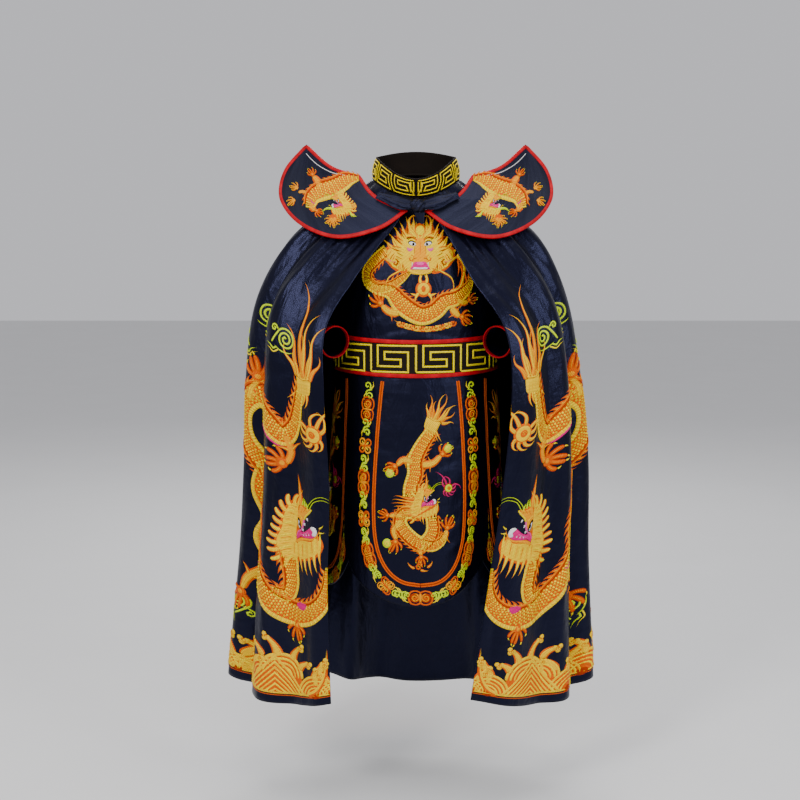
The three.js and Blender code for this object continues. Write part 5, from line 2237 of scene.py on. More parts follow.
class Shader:
    """A node tree under construction for one finish."""

    def __init__(self, name: str) -> None:
        """Starts a material whose surface is a Principled shader.

        Args:
            name: The material's name.
        """
        self.material = bpy.data.materials.new(name)
        self.material.use_nodes = True
        self.tree = self.material.node_tree
        self.skin = self.tree.nodes["Principled BSDF"]

    def set(self, **values: float | tuple[float, ...]) -> None:
        """Sets the shader's own sockets, with underscores for spaces."""
        for name, value in values.items():
            socket = self.skin.inputs[name.replace("_", " ")]
            socket.default_value = (*value, 1.0) if isinstance(value, tuple) else value

    def node(self, kind: str, inputs: dict[str, object] | None = None, **options: object) -> bpy.types.Node:
        """Adds a node, sets its options, and sets or links its inputs.

        Args:
            kind: The node's kind, without the prefix.
            inputs: Values or sockets, by input name.
            options: The node's own settings.

        Returns:
            The node.
        """
        node = self.tree.nodes.new(f"ShaderNode{kind}")
        for name, value in options.items():
            setattr(node, name, value)
        for name, value in (inputs or {}).items():
            socket = node.inputs[int(name) if name.isdigit() else name]
            if isinstance(value, Socket):
                self.tree.links.new(value, socket)
            else:
                socket.default_value = value
        return node

    def link(self, source: Socket, name: str) -> None:
        """Links a socket to the shader."""
        self.tree.links.new(source, self.skin.inputs[name])

    def pattern(
        self, kind: str, across: float, along: float, turned: bool = False, plan: str = "cloth",
        **sizes: float
    ) -> Socket:
        """A pattern over a plan in metres, which across and along multiply.

        Args:
            kind: The node's kind, without the prefix.
            across: Across the cloth.
            along: Along it.
            turned: Runs the bands slantwise.
            plan: The plan's name.
            sizes: The pattern's inputs, with _ for a space.

        Returns:
            The pattern's strength.
        """
        place = self.node("UVMap", uv_map=plan).outputs["UV"]
        vector = self.node("Mapping", {"Vector": place, "Scale": (across, along, 1.0)}).outputs["Vector"]
        inputs = {
            "Vector": vector, "Scale": 1.0, **{name.replace("_", " "): size for name, size in sizes.items()}
        }
        options = {"bands_direction": "DIAGONAL"} if turned else {}
        return self.node(f"Tex{kind}", inputs, **options).outputs["Fac"]

    def dye(self, factor: Socket, deep: Triple, lit: Triple, low: float = 0.0, high: float = 1.0) -> None:
        """Colours the surface from deep to lit as a pattern goes from low to high.

        Args:
            factor: The pattern.
            deep: The dark colour.
            lit: The light colour.
            low: Where the dark one ends.
            high: Where the light one is full.
        """
        tone = self.node("ValToRGB", {"Fac": factor})
        for end, place, colour in zip(tone.color_ramp.elements, (low, high), (deep, lit)):
            end.position, end.color = place, (*colour, 1)
        self.link(tone.outputs["Color"], "Base Color")

    def emboss(self, *layers: tuple[Socket, float, float]) -> None:
        """Lays bumps over each other, where each layer is a height, its strength and its distance.

        Args:
            layers: The bumps, in order.
        """
        inputs: dict[str, object] = {}
        for height, strength, distance in layers:
            inputs |= {"Height": height, "Strength": strength, "Distance": distance}
            inputs["Normal"] = self.node("Bump", inputs).outputs["Normal"]
        self.link(inputs["Normal"], "Normal")


@dataclass(frozen=True)
class Satin:
    """Glossy satin.

    Attributes:
        name: The finish's name.
        deep: Its darker colour, mixed with the lighter one in large random patches.
        lit: Its lighter colour, in the same random patches.
        gloss: The roughness of its sheen.
        crinkle: How deep its small creases are.
    """

    name: str
    deep: Triple = (0.0009, 0.0008, 0.002)
    lit: Triple = (0.002, 0.002, 0.0055)
    gloss: float = 0.3
    crinkle: float = 0.2

    def material(self) -> Finish:
        """Builds the finish.

        Returns:
            The material.
        """
        s = Shader(self.name)
        s.set(Roughness=self.gloss, Specular_IOR_Level=0.28, Specular_Tint=(0.42, 0.46, 1.0))
        s.set(Sheen_Weight=0.012, Sheen_Roughness=0.4, Sheen_Tint=(0.3, 0.4, 1.0))
        s.dye(s.pattern("Noise", 5, 2.2, Detail=4.0, Roughness=0.6), self.deep, self.lit, 0.35, 0.68)
        crinkles = s.pattern("Noise", 34, 13, Detail=3.0, Distortion=0.6)
        cross = s.pattern("Noise", 11, 44, Detail=2.0)
        warp = s.pattern("Wave", 1, 0.15, Scale=420.0, Distortion=1.2, Detail=1.0)
        s.emboss((crinkles, self.crinkle, 0.02), (cross, self.crinkle * 0.5, 0.01), (warp, 0.12, 0.0004))
        return s.material


@dataclass(frozen=True)
class Velvet:
    """Short-piled black velvet."""

    name: str
    deep: Triple = (0.004, 0.003, 0.003)
    lit: Triple = (0.014, 0.009, 0.006)

    def material(self) -> Finish:
        """Builds the finish.

        Returns:
            The material.
        """
        s = Shader(self.name)
        s.set(
            Roughness=0.9, Specular_IOR_Level=0.12, Sheen_Weight=0.06, Sheen_Roughness=0.35,
            Sheen_Tint=(0.6, 0.5, 0.5)
        )
        s.dye(s.pattern("Noise", 16, 16, Detail=6.0, Roughness=0.7), self.deep, self.lit)
        s.emboss((s.pattern("Noise", 900, 900, Detail=2.0), 0.4, 0.0006))
        return s.material


@dataclass(frozen=True)
class Binding:
    """Red satin binding with a fine diagonal twill."""

    name: str
    deep: Triple = (0.22, 0.0004, 0.003)
    lit: Triple = (0.5, 0.0012, 0.009)

    def material(self) -> Finish:
        """Builds the finish.

        Returns:
            The material.
        """
        s = Shader(self.name)
        s.set(Roughness=0.45, Specular_IOR_Level=0.3, Specular_Tint=(1.0, 0.35, 0.35))
        s.dye(s.pattern("Noise", 40, 14, Detail=4.0), self.deep, self.lit, 0.25, 0.7)
        s.emboss((s.pattern("Wave", 1, 1, True, Scale=260.0, Distortion=0.6), 0.35, 0.0005))
        return s.material


@dataclass(frozen=True)
class Floss:
    """Glossy embroidery thread, laid side by side along each stroke's grain, with painted shade and sheen.
    """

    name: str

    def material(self) -> Finish:
        """Builds the finish.

        Returns:
            The material.
        """
        s = Shader(self.name)
        s.set(Roughness=0.45, Specular_IOR_Level=0.14, Specular_Tint=(1.0, 0.7, 0.15))
        lay = {"Scale": 190.0, "Distortion": 1.4, "Detail": 2.0, "Detail_Scale": 1.6}
        strands = s.pattern("Wave", 0.35, 1, True, "grain", **lay)
        # Painted sheen: random lighter and darker patches along the stitches stand in for their changing
        # sheen.
        painted_sheen = s.pattern("Noise", 0.35, 1, False, "grain", Scale=60.0, Detail=3.0)
        shade = s.node("VertexColor", layer_name="thread").outputs["Color"]
        # Painted shade: the colour falls to 0.55 in the grooves between strands and rises a little on their
        # crowns, following the bump.
        depth = s.node("MapRange", {"Value": strands, "To Min": 0.55, "To Max": 1.08}).outputs["Result"]
        between = {"From Min": 0.3, "From Max": 0.7, "To Min": 0.86, "To Max": 1.06}
        tone = s.node("MapRange", {"Value": painted_sheen, **between}).outputs["Result"]
        both = s.node("Math", {"0": depth, "1": tone}, operation="MULTIPLY").outputs["Value"]
        colour = s.node("VectorMath", {"0": shade, "Scale": both}, operation="SCALE")
        s.link(colour.outputs["Vector"], "Base Color")
        s.emboss((strands, 0.5, 0.0006))
        return s.material


@dataclass(frozen=True)
class Studio:
    """The floor, backdrop light and camera.

    Attributes:
        floor_z: The floor's height in metres.
        distance: From the camera to the robe's upright axis.
        pitch: How far the camera looks down, in degrees.
        focal: Its focal length on a 36 mm wide sensor.
        aside: How far the robe stands right of the picture's middle, as a share of its width.
    """

    floor_z: float = -1.49
    distance: float = 3.6
    pitch: float = 8.0
    focal: float = 64.66
    aside: float = 0.02

    def camera(self) -> None:
        """Puts up the camera."""
        lens = bpy.data.cameras.new("camera")
        lens.lens, lens.sensor_width, lens.shift_x = self.focal, 36.0, -self.aside
        eye = bpy.data.objects.new("camera", lens)
        eye.location = (0, -self.distance, 0)
        eye.rotation_euler = (math.radians(90 - self.pitch), 0, 0)
        bpy.context.scene.collection.objects.link(eye)
        bpy.context.scene.camera = eye

    def light(
        self, name: str, place: Triple, target: Triple, size: Sequence[float], power: float,
        tint: Triple = (1, 1, 1)
    ) -> None:
        """Hangs one soft box that shines from its place at its target.

        Args:
            name: Its name.
            place: Where it hangs.
            target: What it faces.
            size: Its two sides.
            power: In watts.
            tint: Its colour.
        """
        lamp = bpy.data.lights.new(name, "AREA")
        lamp.shape, lamp.size, lamp.size_y, lamp.energy, lamp.color = "RECTANGLE", *size, power, tint
        box = bpy.data.objects.new(name, lamp)
        box.location = place
        box.rotation_euler = (Vector(target) - Vector(place)).to_track_quat("-Z", "Y").to_euler()
        bpy.context.scene.collection.objects.link(box)

    def lights(self) -> None:
        """Lights the robe softly from both sides and above."""
        self.light("key", (-1.9, -3.1, 1.5), (0, 0, -0.6), (0.9, 1.8), 100, (1.0, 0.98, 0.95))
        self.light("fill", (2.5, -2.7, 0.7), (0, 0, -0.7), (0.9, 2.0), 66, (0.95, 0.97, 1.0))
        self.light("above", (0.2, -0.6, 2.6), (0, 0, -0.4), (2.4, 1.6), 50)
        self.light("behind", (0.0, 3.4, 2.0), (0, 0, -0.7), (2.6, 1.6), 90)
        world = bpy.data.worlds.new("studio")
        world.use_nodes = True
        world.node_tree.nodes["Background"].inputs["Color"].default_value = (0.95, 0.95, 1.0, 1.0)
        world.node_tree.nodes["Background"].inputs["Strength"].default_value = 0.66
        bpy.context.scene.world = world

    def floor(self) -> Piece:
        """Lays the pale floor.

        Returns:
            The floor.
        """
        s = Shader("floor_paint")
        s.set(Roughness=0.75)
        place = s.node("TexCoord").outputs["Object"]
        mottle = s.node("TexNoise", {"Vector": place, "Scale": 3.0, "Detail": 3.0})
        s.dye(mottle.outputs["Fac"], (0.66, 0.66, 0.66), (0.7, 0.7, 0.7))
        reach, deep = 14.0 / MM, self.floor_z / MM
        corners = np.array(
            [(-reach, -reach, deep), (reach, -reach, deep), (reach, reach, deep), (-reach, reach, deep)]
        )
        return build_mesh("studio_floor", corners, np.array([[0, 1, 2, 3]]), NO_TRIS, s.material)


class Held(Enum):
    """How a sheet of cloth is held."""

    DRAPED = "draped"
    HUNG = "hung"
    FOLDED = "folded"
    STRETCHED = "stretched"


@dataclass
class Workroom:
    """The robe's finishes and needle."""

    cape: Finish
    bodice: Finish
    skirt: Finish
    wing: Finish
    velvet: Finish
    red: Finish
    thread: Finish
    needle: Needle

    @classmethod
    def open(cls) -> "Workroom":
        """Builds every finish.

        Returns:
            The workroom.
        """
        thread = Floss("gold_thread").material()
        return cls(
            Satin("cape_satin").material(),
            Satin("bodice_satin", gloss=0.4, crinkle=0.24).material(),
            Satin("skirt_satin", gloss=0.38, crinkle=0.2).material(),
            Satin("wing_satin", lit=(0.012, 0.013, 0.02), gloss=0.42, crinkle=0.1).material(),
            Velvet("collar_velvet").material(),
            Binding("red_binding").material(),
            thread,
            Needle(thread),
        )

    def settle(self, piece: Piece, slot: str, *nodes: str) -> Piece:
        """Attaches a piece to the robe's root in place of its nodes, which it hides, and logs its slot.

        Args:
            piece: The piece.
            slot: Its slot.
            nodes: The nodes that it stands for.

        Returns:
            The same piece.
        """
        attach(piece, "root")
        if nodes:
            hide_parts(*nodes)
        LOG.info("%s rides on root as %s", piece.name, slot)
        return piece

    def shell(
        self, name: str, cloth: Cloth, finish: Finish, thick: float, keep: Array | None = None,
        around: bool = False
    ) -> Piece:
        """Makes the sheet of a cloth with its thickness inwards.

        Args:
            name: The sheet's name.
            cloth: Its measured face.
            finish: Its finish.
            thick: Its thickness.
            keep: True for each quad to keep, where some are left out.
            around: Joins the last column of points to the first.

        Returns:
            The sheet.
        """
        rows, columns = cloth.us.shape
        columns -= 1 if around else 0
        points, normals = (table[:, :columns].reshape(-1, 3) for table in (cloth.points, cloth.normals))
        plan = np.stack([cloth.plan_x, cloth.plan_y], -1)[:, :columns].reshape(-1, 2)
        quads = outward(points, grid_quads(rows, columns, around), normals)
        if keep is not None:
            quads = quads[keep]
            used = np.unique(quads)
            number = np.zeros(len(points), int)
            number[used] = np.arange(len(used))
            points, plan, quads = points[used], plan[used], number[quads]
        piece = build_mesh(name, points, quads, NO_TRIS, finish, {"cloth": plan})
        wall = piece.modifiers.new("thickness", "SOLIDIFY")
        wall.thickness, wall.offset = thick * MM, -1.0
        return piece

    def declare(
        self, piece: Piece, cloth: Cloth, held: Held, rests_on: Sequence[str], *pieces: Piece
    ) -> None:
        """Takes a sheet with its cloth and what goes with it, and does nothing with them.

        Args:
            piece: The sheet; not used.
            cloth: The cloth; not used.
            held: How it is held; not used.
            rests_on: The pieces it rests on; not used.
            pieces: The pieces that go with it; not used.
        """


def sweep(frames: Array, around: bool) -> tuple[Array, Array]:
    """Joins rings of points into quads, with its ends filled where it isn't a loop.

    Args:
        frames: One closed ring of points for each step, shaped (steps, ring, 3).
        around: Joins the last step to the first.

    Returns:
        The points and the quads.
    """
    steps, ring = frames.shape[:2]
    points = frames.reshape(-1, 3)
    if around:
        return points, grid_quads(steps + 1, ring, True) % (steps * ring)
    cap = np.array([(k, k + 1, ring - 2 - k, ring - 1 - k) for k in range(ring // 2 - 1)])
    return points, np.concatenate([grid_quads(steps, ring, True), cap, cap[:, ::-1] + (steps - 1) * ring])


def swept(
    name: str, frames: Array, along: Array, across: Sequence[float], finish: Finish, around: bool = True,
    turned: bool = False,
) -> Piece:
    """Makes a solid piece swept through rings of points.

    Args:
        name: The piece's name.
        frames: Its rings, shaped (steps, ring, 3).
        along: The plan's place of each step.
        across: The plan's place of each point of a ring.
        finish: Its finish.
        around: Joins the last step to the first.
        turned: Swaps the plan's two directions.

    Returns:
        The piece.
    """
    points, quads = sweep(frames, around)
    quads = outward(points, quads, points - frames.mean(1).repeat(len(across), 0))
    plan = np.stack([np.repeat(along, len(across)), np.tile(across, len(along))], -1)
    return build_mesh(name, points, quads, NO_TRIS, finish, {"cloth": plan[:, ::-1] if turned else plan})


@dataclass
class Cape:
    """The wide cape with two embroidered fronts and a back."""

    room: Workroom
    thick: float = 1.6

    def make(self) -> None:
        """Makes the cape's three cloths and their embroidery."""
        for side in Side:
            cloth = CapeFrontCloth(side)
            name = f"cape_front_{side.word}"
            piece = self.room.shell(f"{name}_satin", cloth, self.room.cape, self.thick)
            work = Stitchwork()
            work.add(cape_dragon(True))
            edge = float(cloth.plan_x[-1].max() - cloth.plan_x[-1].min())
            work.add(hem_stitching(150, 150 + 300 * max(1, round((edge - 330) / 300)), True))
            sewn = self.room.needle.drape(
                f"{name}_dragon", work, cloth, from_x=float(cloth.plan_x[:, 0].max())
            )
            self.room.settle(piece, "cape_satin", name)
            self.room.settle(sewn, "gold_thread")
            self.room.declare(piece, cloth, Held.DRAPED, ["collar_stand_velvet", "bodice_front_satin"], sewn)
        cloth = CapeBackCloth()
        piece = self.room.shell("cape_back_satin", cloth, self.room.cape, self.thick)
        waves = Stitchwork()
        waves.add(hem_stitching(-450, 450, False))
        waves.add(pearl(), 0, -660, grow=1.5)
        for y, turn in ((-800, 90), (-985, -90)):
            waves.add(cloud(), 0, y, turn, 1.1)
        sewn = [self.room.needle.drape("cape_back_waves", waves, cloth)]
        for side in Side:
            work = Stitchwork()
            work.add(cape_dragon(False), 370 * side.value, 0, flip=side.value > 0)
            sewn.append(self.room.needle.drape(f"cape_back_dragon_{side.word}", work, cloth))
        self.room.settle(piece, "cape_satin", "cape_back")
        for stitching in sewn:
            self.room.settle(stitching, "gold_thread")
        self.room.declare(piece, cloth, Held.DRAPED, ["bodice_back_satin"], *sewn)


@dataclass
class Bodice:
    """The close-fitting bodice with the medallion on its chest."""

    room: Workroom
    thick: float = 1.6
    armhole: float = 49.0
    chest: tuple[float, float] = (10.0, -178.0)

    def open_armholes(self, cloth: BodiceCloth) -> Array:
        """Moves the cloth's points out to the armholes' rims and marks the quads that stay.

        Args:
            cloth: The front or the back.

        Returns:
            True for each quad that stays.
        """
        keep = np.ones(cloth.us.shape, bool)
        for side in Side:
            sleeve = SleeveCloth(side)
            first, second = sleeve.centre(np.array([0.0, 0.06]))
            way = normed(second - first)
            rest = cloth.points - first
            along = rest @ way
            out = rest - along[..., None] * way
            away = np.linalg.norm(out, axis=-1)
            near = (away < self.armhole) & (along > -70)
            rim = out * (self.armhole / np.maximum(away, 1e-6))[..., None] - out
            ready = near & (away > self.armhole - 5.5)
            cloth.points = cloth.points + np.where(ready[..., None], rim, 0)
            keep &= ~near | ready
        quads = keep[:-1, :-1] & keep[1:, :-1] & keep[:-1, 1:] & keep[1:, 1:]
        return quads.ravel()

    def make(self) -> None:
        """Makes the front and back and the chest's medallion."""
        for front, word in ((True, "front"), (False, "back")):
            cloth = BodiceCloth(front)
            with_pieces = []
            if front:
                work = Stitchwork()
                work.add(chest_medallion(), *self.chest)
                sewn = self.room.needle.drape("bodice_medallion", work, cloth)
                with_pieces.append(self.room.settle(sewn, "gold_thread"))
            keep = self.open_armholes(cloth)
            piece = self.room.shell(f"bodice_{word}_satin", cloth, self.room.bodice, self.thick, keep)
            self.room.settle(piece, "bodice_satin", f"bodice_{word}")
            self.room.declare(piece, cloth, Held.HUNG, ["collar_stand_velvet"], *with_pieces)

@dataclass
class Sleeves:
    """The two black sleeves with their red cuffs."""

    room: Workroom
    thick: float = 1.6

    def make(self) -> None:
        """Makes both sleeves and their bindings."""
        for side in Side:
            cloth = SleeveCloth(side)
            piece = self.room.shell(
                f"sleeve_{side.word}_satin", cloth, self.room.bodice, self.thick, around=True
            )
            self.room.settle(piece, "bodice_satin", f"sleeve_{side.word}")
            trim = self.binding(side, cloth)
            self.room.settle(trim, "red_binding", f"cuff_binding_{side.word}")
            self.room.declare(piece, cloth, Held.FOLDED, ["bodice_front_satin", "bodice_back_satin"], trim)

    def binding(self, side: Side, cloth: SleeveCloth) -> Piece:
        """Makes the rounded binding round a cuff.

        Args:
            side: Which side of the wearer.
            cloth: The cloth.

        Returns:
            The binding.
        """
        end = cloth.v_range[1]
        centres = cloth.centre(np.linspace(end - 1, end, 60))
        down = lengths_of(centres[::-1])[::-1]
        profile = (
            (12.0, 0.1), (11.4, 1.1), (8.0, 1.5), (4.0, 1.5), (1.0, 1.3), (0.0, 0.4), (0.0, -1.2),
            (1.2, -1.9),
            (6.0, -2.0), (11.4, -2.0), (12.0, -1.4),
        )
        angles = np.linspace(0, 2 * np.pi, 72, endpoint=False)
        rings = []
        for back, lift in profile:
            v = np.full_like(angles, np.interp(-back, -down, np.linspace(end - 1, end, 60)))
            rings.append(cloth.about(v, angles, lift))
        backs = [row[0] for row in profile]
        return swept(f"cuff_{side.word}_red", np.stack(rings, 1), angles * 38, backs, self.room.red)


@dataclass
class Belt:
    """The wide belt with its key pattern, edged in red above and below."""

    room: Workroom
    thick: float = 3.0
    spacing: float = 109.0

    def make(self) -> None:
        """Makes the belt, its pattern and its edges."""
        cloth = BeltCloth()
        piece = self.room.shell("belt_velvet", cloth, self.room.velvet, self.thick, around=True)
        work = Stitchwork()
        low, high = float(cloth.plan_x[-1].min()), float(cloth.plan_x[-1].max())
        count = round((high - low) / self.spacing)
        step = (high - low) / count
        line = [
            (
                low + step / 2 + k * (high - low - step) / 40, 0.5 * (BELT_TOP + BELT_BOTTOM)
            ) for k in range(41)
        ]
        work.course(Unit.BELT_KEY, line, step, grow=step / KEY_LONG)
        sewn = self.room.needle.drape("belt_keys", work, cloth)
        self.room.settle(piece, "belt_velvet", "belt")
        self.room.settle(sewn, "gold_thread")
        trims = [self.binding("top", cloth, 0.0), self.binding("low", cloth, 1.0)]
        for trim, node in zip(trims, ("belt_binding_top", "belt_binding_low")):
            self.room.settle(trim, "red_binding", node)
        self.room.declare(
            piece, cloth, Held.STRETCHED, ["bodice_front_satin", "skirt_front_satin"], sewn, *trims
        )

    def binding(self, word: str, cloth: BeltCloth, edge: float) -> Piece:
        """Makes the rounded binding along one edge of the belt.

        Args:
            word: Which edge, for the name.
            cloth: The cloth.
            edge: 0 for the upper edge, 1 for the lower one.

        Returns:
            The binding.
        """
        profile = (
            (0.0, -3.0), (0.0, 0.6), (0.7, 1.3), (2.6, 1.6), (7.0, 1.6), (9.2, 1.3), (10.0, 0.3),
            (10.0, -0.4), (6.0, -0.5), (1.2, -2.4)
        )
        angles = np.linspace(-np.pi, np.pi, 220, endpoint=False)
        share = np.array([(row[0] / (BELT_TOP - BELT_BOTTOM)) for row in profile])
        v = np.tile(edge + (share if edge == 0 else -share), (len(angles), 1))
        u = np.tile(angles[:, None], (1, len(profile)))
        face = cloth.form(u, v)
        out = normed(face[..., :2])
        face[..., :2] += out * np.array([row[1] for row in profile])[None, :, None]
        return swept(f"belt_edge_{word}_red", face, angles * 190, [row[0] for row in profile], self.room.red)


@dataclass
class Skirt:
    """Three round-ended panels that hang from the belt."""

    room: Workroom
    thick: float = 1.6
    cuts: dict[str, PanelCut] = field(
        default_factory=lambda: {
            "front": PanelCut(0, 53, 0),
            "right": PanelCut(-91, 48, -2.9),
            "left": PanelCut(91, 48, -2.9),
        }
    )
    aside: dict[str, float] = field(default_factory=lambda: {"front": 11.0, "right": 0.0, "left": 0.0})

    def make(self) -> None:
        """Makes each panel with its embroidery."""
        work = panel_stitching()
        for word, cut in self.cuts.items():
            cloth = PanelCloth(cut, PANEL_CREASES)
            piece = self.room.shell(f"skirt_{word}_satin", cloth, self.room.skirt, self.thick)
            turned = Stitchwork()
            turned.add(work, flip=word == "left")
            sewn = self.room.needle.drape(f"skirt_{word}_dragon", turned, cloth, from_x=self.aside[word])
            self.room.settle(piece, "skirt_satin", f"skirt_{word}")
            self.room.settle(sewn, "gold_thread")
            self.room.declare(piece, cloth, Held.HUNG, ["belt_velvet"], sewn)


@dataclass
class Collar:
    """The stand collar with its gold key pattern."""

    room: Workroom
    thick: float = 2.4
    spacing: float = 62.0

    def make(self) -> None:
        """Makes the collar and its pattern."""
        cloth = CollarCloth()
        piece = self.room.shell("collar_stand_velvet", cloth, self.room.velvet, self.thick)
        work = Stitchwork()
        reach = float(cloth.plan_x[8].max()) - 36
        count = int(reach / self.spacing)
        line = [(reach - k * self.spacing * count / 20, 0.49 * COLLAR_HEIGHT) for k in range(21)]
        work.course(Unit.COLLAR_KEY, line, self.spacing, grow=self.spacing / (COLLAR_KEY_LONG * KEY_LONG))
        both = Stitchwork()
        both.add(work)
        both.add(work, flip=True)
        for side in (-1, 1):
            for inset in (5, 12):
                bar = [
                    (
                        side * (float(cloth.plan_x[row].max()) - inset), float(cloth.plan_y[row, -1])
                    ) for row in (4, 9, 14)
                ]
                both.stroke(bar, 3.2, STRAW, height=1.5)
        sewn = self.room.needle.drape("collar_keys", both, cloth)
        self.room.settle(piece, "collar_velvet", "collar_stand")
        self.room.settle(sewn, "gold_thread")
        self.room.declare(piece, cloth, Held.STRETCHED, ["cape_back_satin", "bodice_back_satin"], sewn)


@dataclass
class Wings:
    """The stiffened shoulder wings with red edges."""

    room: Workroom
    thick: float = WING_THICK

    def make(self) -> None:
        """Makes both wings, their embroidery and their edges."""
        work = wing_stitching()
        for side in Side:
            cloth = WingCloth(side)
            piece = self.room.shell(f"wing_{side.word}_satin", cloth, self.room.wing, self.thick)
            sewn = self.room.needle.drape(f"wing_{side.word}_dragon", work, cloth)
            trim = self.binding(side, cloth)
            self.room.settle(piece, "wing_satin", f"wing_{side.word}")
            self.room.settle(sewn, "gold_thread")
            self.room.settle(trim, "red_binding", f"wing_binding_{side.word}")
            self.room.declare(piece, cloth, Held.HUNG, [f"cape_front_{side.word}_satin"], sewn, trim)

    def binding(self, side: Side, cloth: WingCloth) -> Piece:
        """Makes the rounded binding round a wing, over its face and back.

        Args:
            side: Which side of the wearer.
            cloth: The cloth.

        Returns:
            The binding.
        """
        w = WING_BINDING
        profile = (
            (w, -0.3), (w - 0.5, 1.0), (w - 2.4, 1.6), (3.0, 1.6), (1.0, 1.3), (-0.4, 0.2), (-0.8, -1.2),
            (-0.4, -2.6), (1.0, -3.7), (3.0, -4.0), (w - 2.4, -4.0), (w - 0.5, -3.4), (w, -2.1)
        )
        outline = cloth.outline()
        at = np.concatenate([lengths_of(outline), [0]])
        at[-1] = at[-2] + np.linalg.norm(outline[-1] - outline[0])
        closed = np.vstack([outline, outline[:1]])
        samples = np.linspace(0, at[-1], 241)[:-1]
        line = sample(closed, at, samples)
        ways = normed(np.roll(line, -1, 0) - np.roll(line, 1, 0))
        inward = np.stack([-ways[:, 1], ways[:, 0]], -1)
        if (inward * (line.mean(0) - line)).sum() < 0:
            inward = -inward
        frames = np.stack(
            [cloth.place(*(line + inward * back).T, np.full(len(line), lift)) for back, lift in profile], 1
        )
        return swept(f"wing_{side.word}_red", frames, samples, [row[0] for row in profile], self.room.red)


class TieRow(NamedTuple):
    """One place of a tie band: x away from the middle, height, and how far in front of the wings' face."""

    x: float
    z: float
    off: float


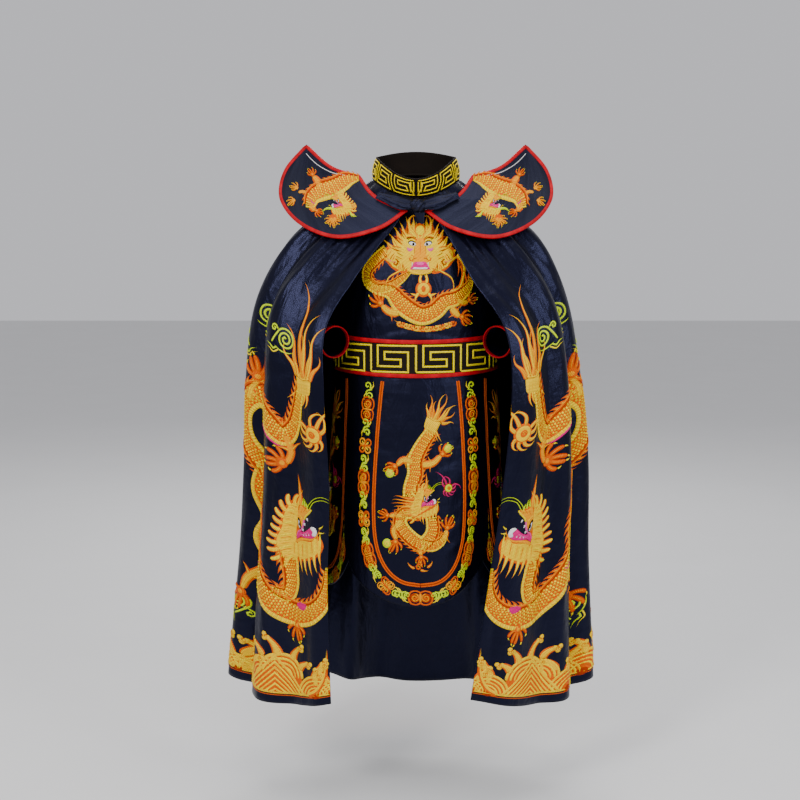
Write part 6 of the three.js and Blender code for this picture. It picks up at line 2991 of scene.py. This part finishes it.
@dataclass
class Tie:
    """The satin tie across the chest: a twisted band from each wing, a knot and a folded tail."""

    room: Workroom
    rows: tuple[TieRow, ...] = (TieRow(97, 7, 9), TieRow(58, -6, 10), TieRow(12, -15, 16))
    half_high: float = 9.5
    half_deep: float = 4.6
    knot_at: tuple[float, float, float] = (4.0, -124.0, -17.0)
    knot_half: tuple[float, float, float] = (23.0, 13.0, 16.0)
    tail_top: float = -34.3
    tail_long: float = 25.0
    tail_swing: float = 6.0

    def band(self, side: Side) -> Piece:
        """Makes one band, pleated along its length.

        Args:
            side: Which side of the wearer.

        Returns:
            The band.
        """
        middle = self.knot_at[0]
        rows = [(side.value * r.x + middle, wing_depth(r.x, r.z) - r.off, r.z) for r in self.rows]
        t = np.linspace(0, 1, 40)
        line = np.stack(
            [np.interp(t, np.linspace(0, 1, len(rows)), [row[k] for row in rows]) for k in range(3)], -1
        )
        for _ in range(6):
            line[1:-1] = (line[:-2] + 2 * line[1:-1] + line[2:]) / 4
        way = normed(np.gradient(line, axis=0))
        up = np.array([0, 0.8, 1.0])
        up = normed(up - (way @ up)[:, None] * way)
        out = np.cross(way, up) * -side.value
        out *= np.where(out[:, 1:2] > 0, -1, 1)
        ring = np.linspace(0, 2 * np.pi, 36, endpoint=False)
        frames = []
        for k, share in enumerate(t):
            spread = 1 + 0.85 * smoothstep(np.array(share), 0.1, 0.7) - 0.4 * smoothstep(
                np.array(share), 0.75, 1.0
            )
            pleat = 1 + 0.2 * np.cos(5 * ring + 4.5 * share) + 0.1 * np.cos(9 * ring - 3 * share)
            high = up[k] * (self.half_high * spread * np.sin(ring) * pleat)[:, None]
            frames.append(line[k] + high + out[k] * (self.half_deep * np.cos(ring) * pleat)[:, None])
        return swept(
            f"tie_band_{side.word}_satin", np.array(frames), t * 90, ring * 8, self.room.wing, False
        )

    def knot(self) -> Piece:
        """Makes the knot: a pleated round with a wrap across it.

        Returns:
            The knot.
        """
        rows, columns = 28, 48
        phi = np.linspace(0.06, np.pi - 0.06, rows)[:, None]
        theta = np.linspace(0, 2 * np.pi, columns, endpoint=False)[None]
        wrap = np.exp(-((np.cos(phi) / 0.42) ** 2))
        twist = theta + 1.9 * np.cos(phi)
        pleat = 0.13 * np.cos(5 * twist) * np.sin(phi) + 0.05 * np.cos(13 * twist + 1.0) * np.sin(phi)
        size = 0.84 + 0.12 * wrap + pleat
        a, b, c = self.knot_half
        y, z = b * np.sin(phi) * np.cos(theta) * size, c * np.sin(phi) * np.sin(theta) * size
        shape = np.stack([a * np.cos(phi) * size, y, z], -1)
        poles = np.array([[a * 0.84, 0, 0], [-a * 0.84, 0, 0]])
        points = np.vstack([shape.reshape(-1, 3), poles]) + np.array(self.knot_at)
        ring = np.arange(columns)
        turned = (ring + 1) % columns
        quads = grid_quads(rows, columns, True)
        last = (rows - 1) * columns
        ends = [np.full(columns, rows * columns + k) for k in (0, 1)]
        tris = np.vstack(
            [np.stack([turned, ring, ends[0]], -1), np.stack([ring + last, turned + last, ends[1]], -1)]
        )
        away = points - np.array(self.knot_at)
        plan = np.stack([away[:, 0], away[:, 2] + away[:, 1]], -1)
        return build_mesh(
            "tie_knot_satin", points, outward(points, quads, away), outward_tris(points, tris, away),
            self.room.wing, {"cloth": plan}
        )

    def tail(self) -> Piece:
        """Makes the folded end below the knot.

        Returns:
            The end.
        """
        t = np.linspace(0, 1, 26)
        ring = np.linspace(0, 2 * np.pi, 28, endpoint=False)
        frames = []
        for share in t:
            wide = 13.0 - 6.0 * share
            fold = 1 + 0.16 * np.cos(3 * ring + 1.2 + 2 * share)
            x = 8 + self.tail_swing * share**1.3
            y = self.knot_at[1] + 3.6 * np.sin(ring) * fold
            z = self.tail_top - self.tail_long * share + 2.5 * np.cos(2 * ring) * share
            frames.append(np.stack([x + wide * np.cos(ring) * fold, y, z], -1))
        return swept("tie_tail_satin", np.array(frames), t * 44, ring * 8, self.room.wing, False, True)

    def make(self) -> None:
        """Makes the whole tie."""
        for side in Side:
            self.room.settle(self.band(side), "wing_satin", f"tie_band_{side.word}")
        self.room.settle(self.knot(), "wing_satin", "tie_knot")
        self.room.settle(self.tail(), "wing_satin", "tie_tail")


def outward_tris(points: Array, tris: Array, normals: Array) -> Array:
    """The triangles, each turned to face along the normals.

    Args:
        points: The points.
        tris: Three point numbers each.
        normals: A direction for each point.

    Returns:
        The triangles.
    """
    p = points[tris]
    facing = np.cross(p[:, 1] - p[:, 0], p[:, 2] - p[:, 0])
    wrong = (facing * normals[tris].mean(1)).sum(1) < 0
    return np.where(wrong[:, None], tris[:, ::-1], tris)


def main() -> None:
    """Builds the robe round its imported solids."""
    logging.basicConfig(level=logging.INFO, format="%(message)s")
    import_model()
    studio = Studio()
    studio.camera()
    room = Workroom.open()
    for part in (Collar, Cape, Bodice, Sleeves, Belt, Skirt, Wings, Tie):
        part(room).make()
    room.needle.put_away()
    studio.floor()
    studio.lights()


if __name__ == "__main__":
    main()
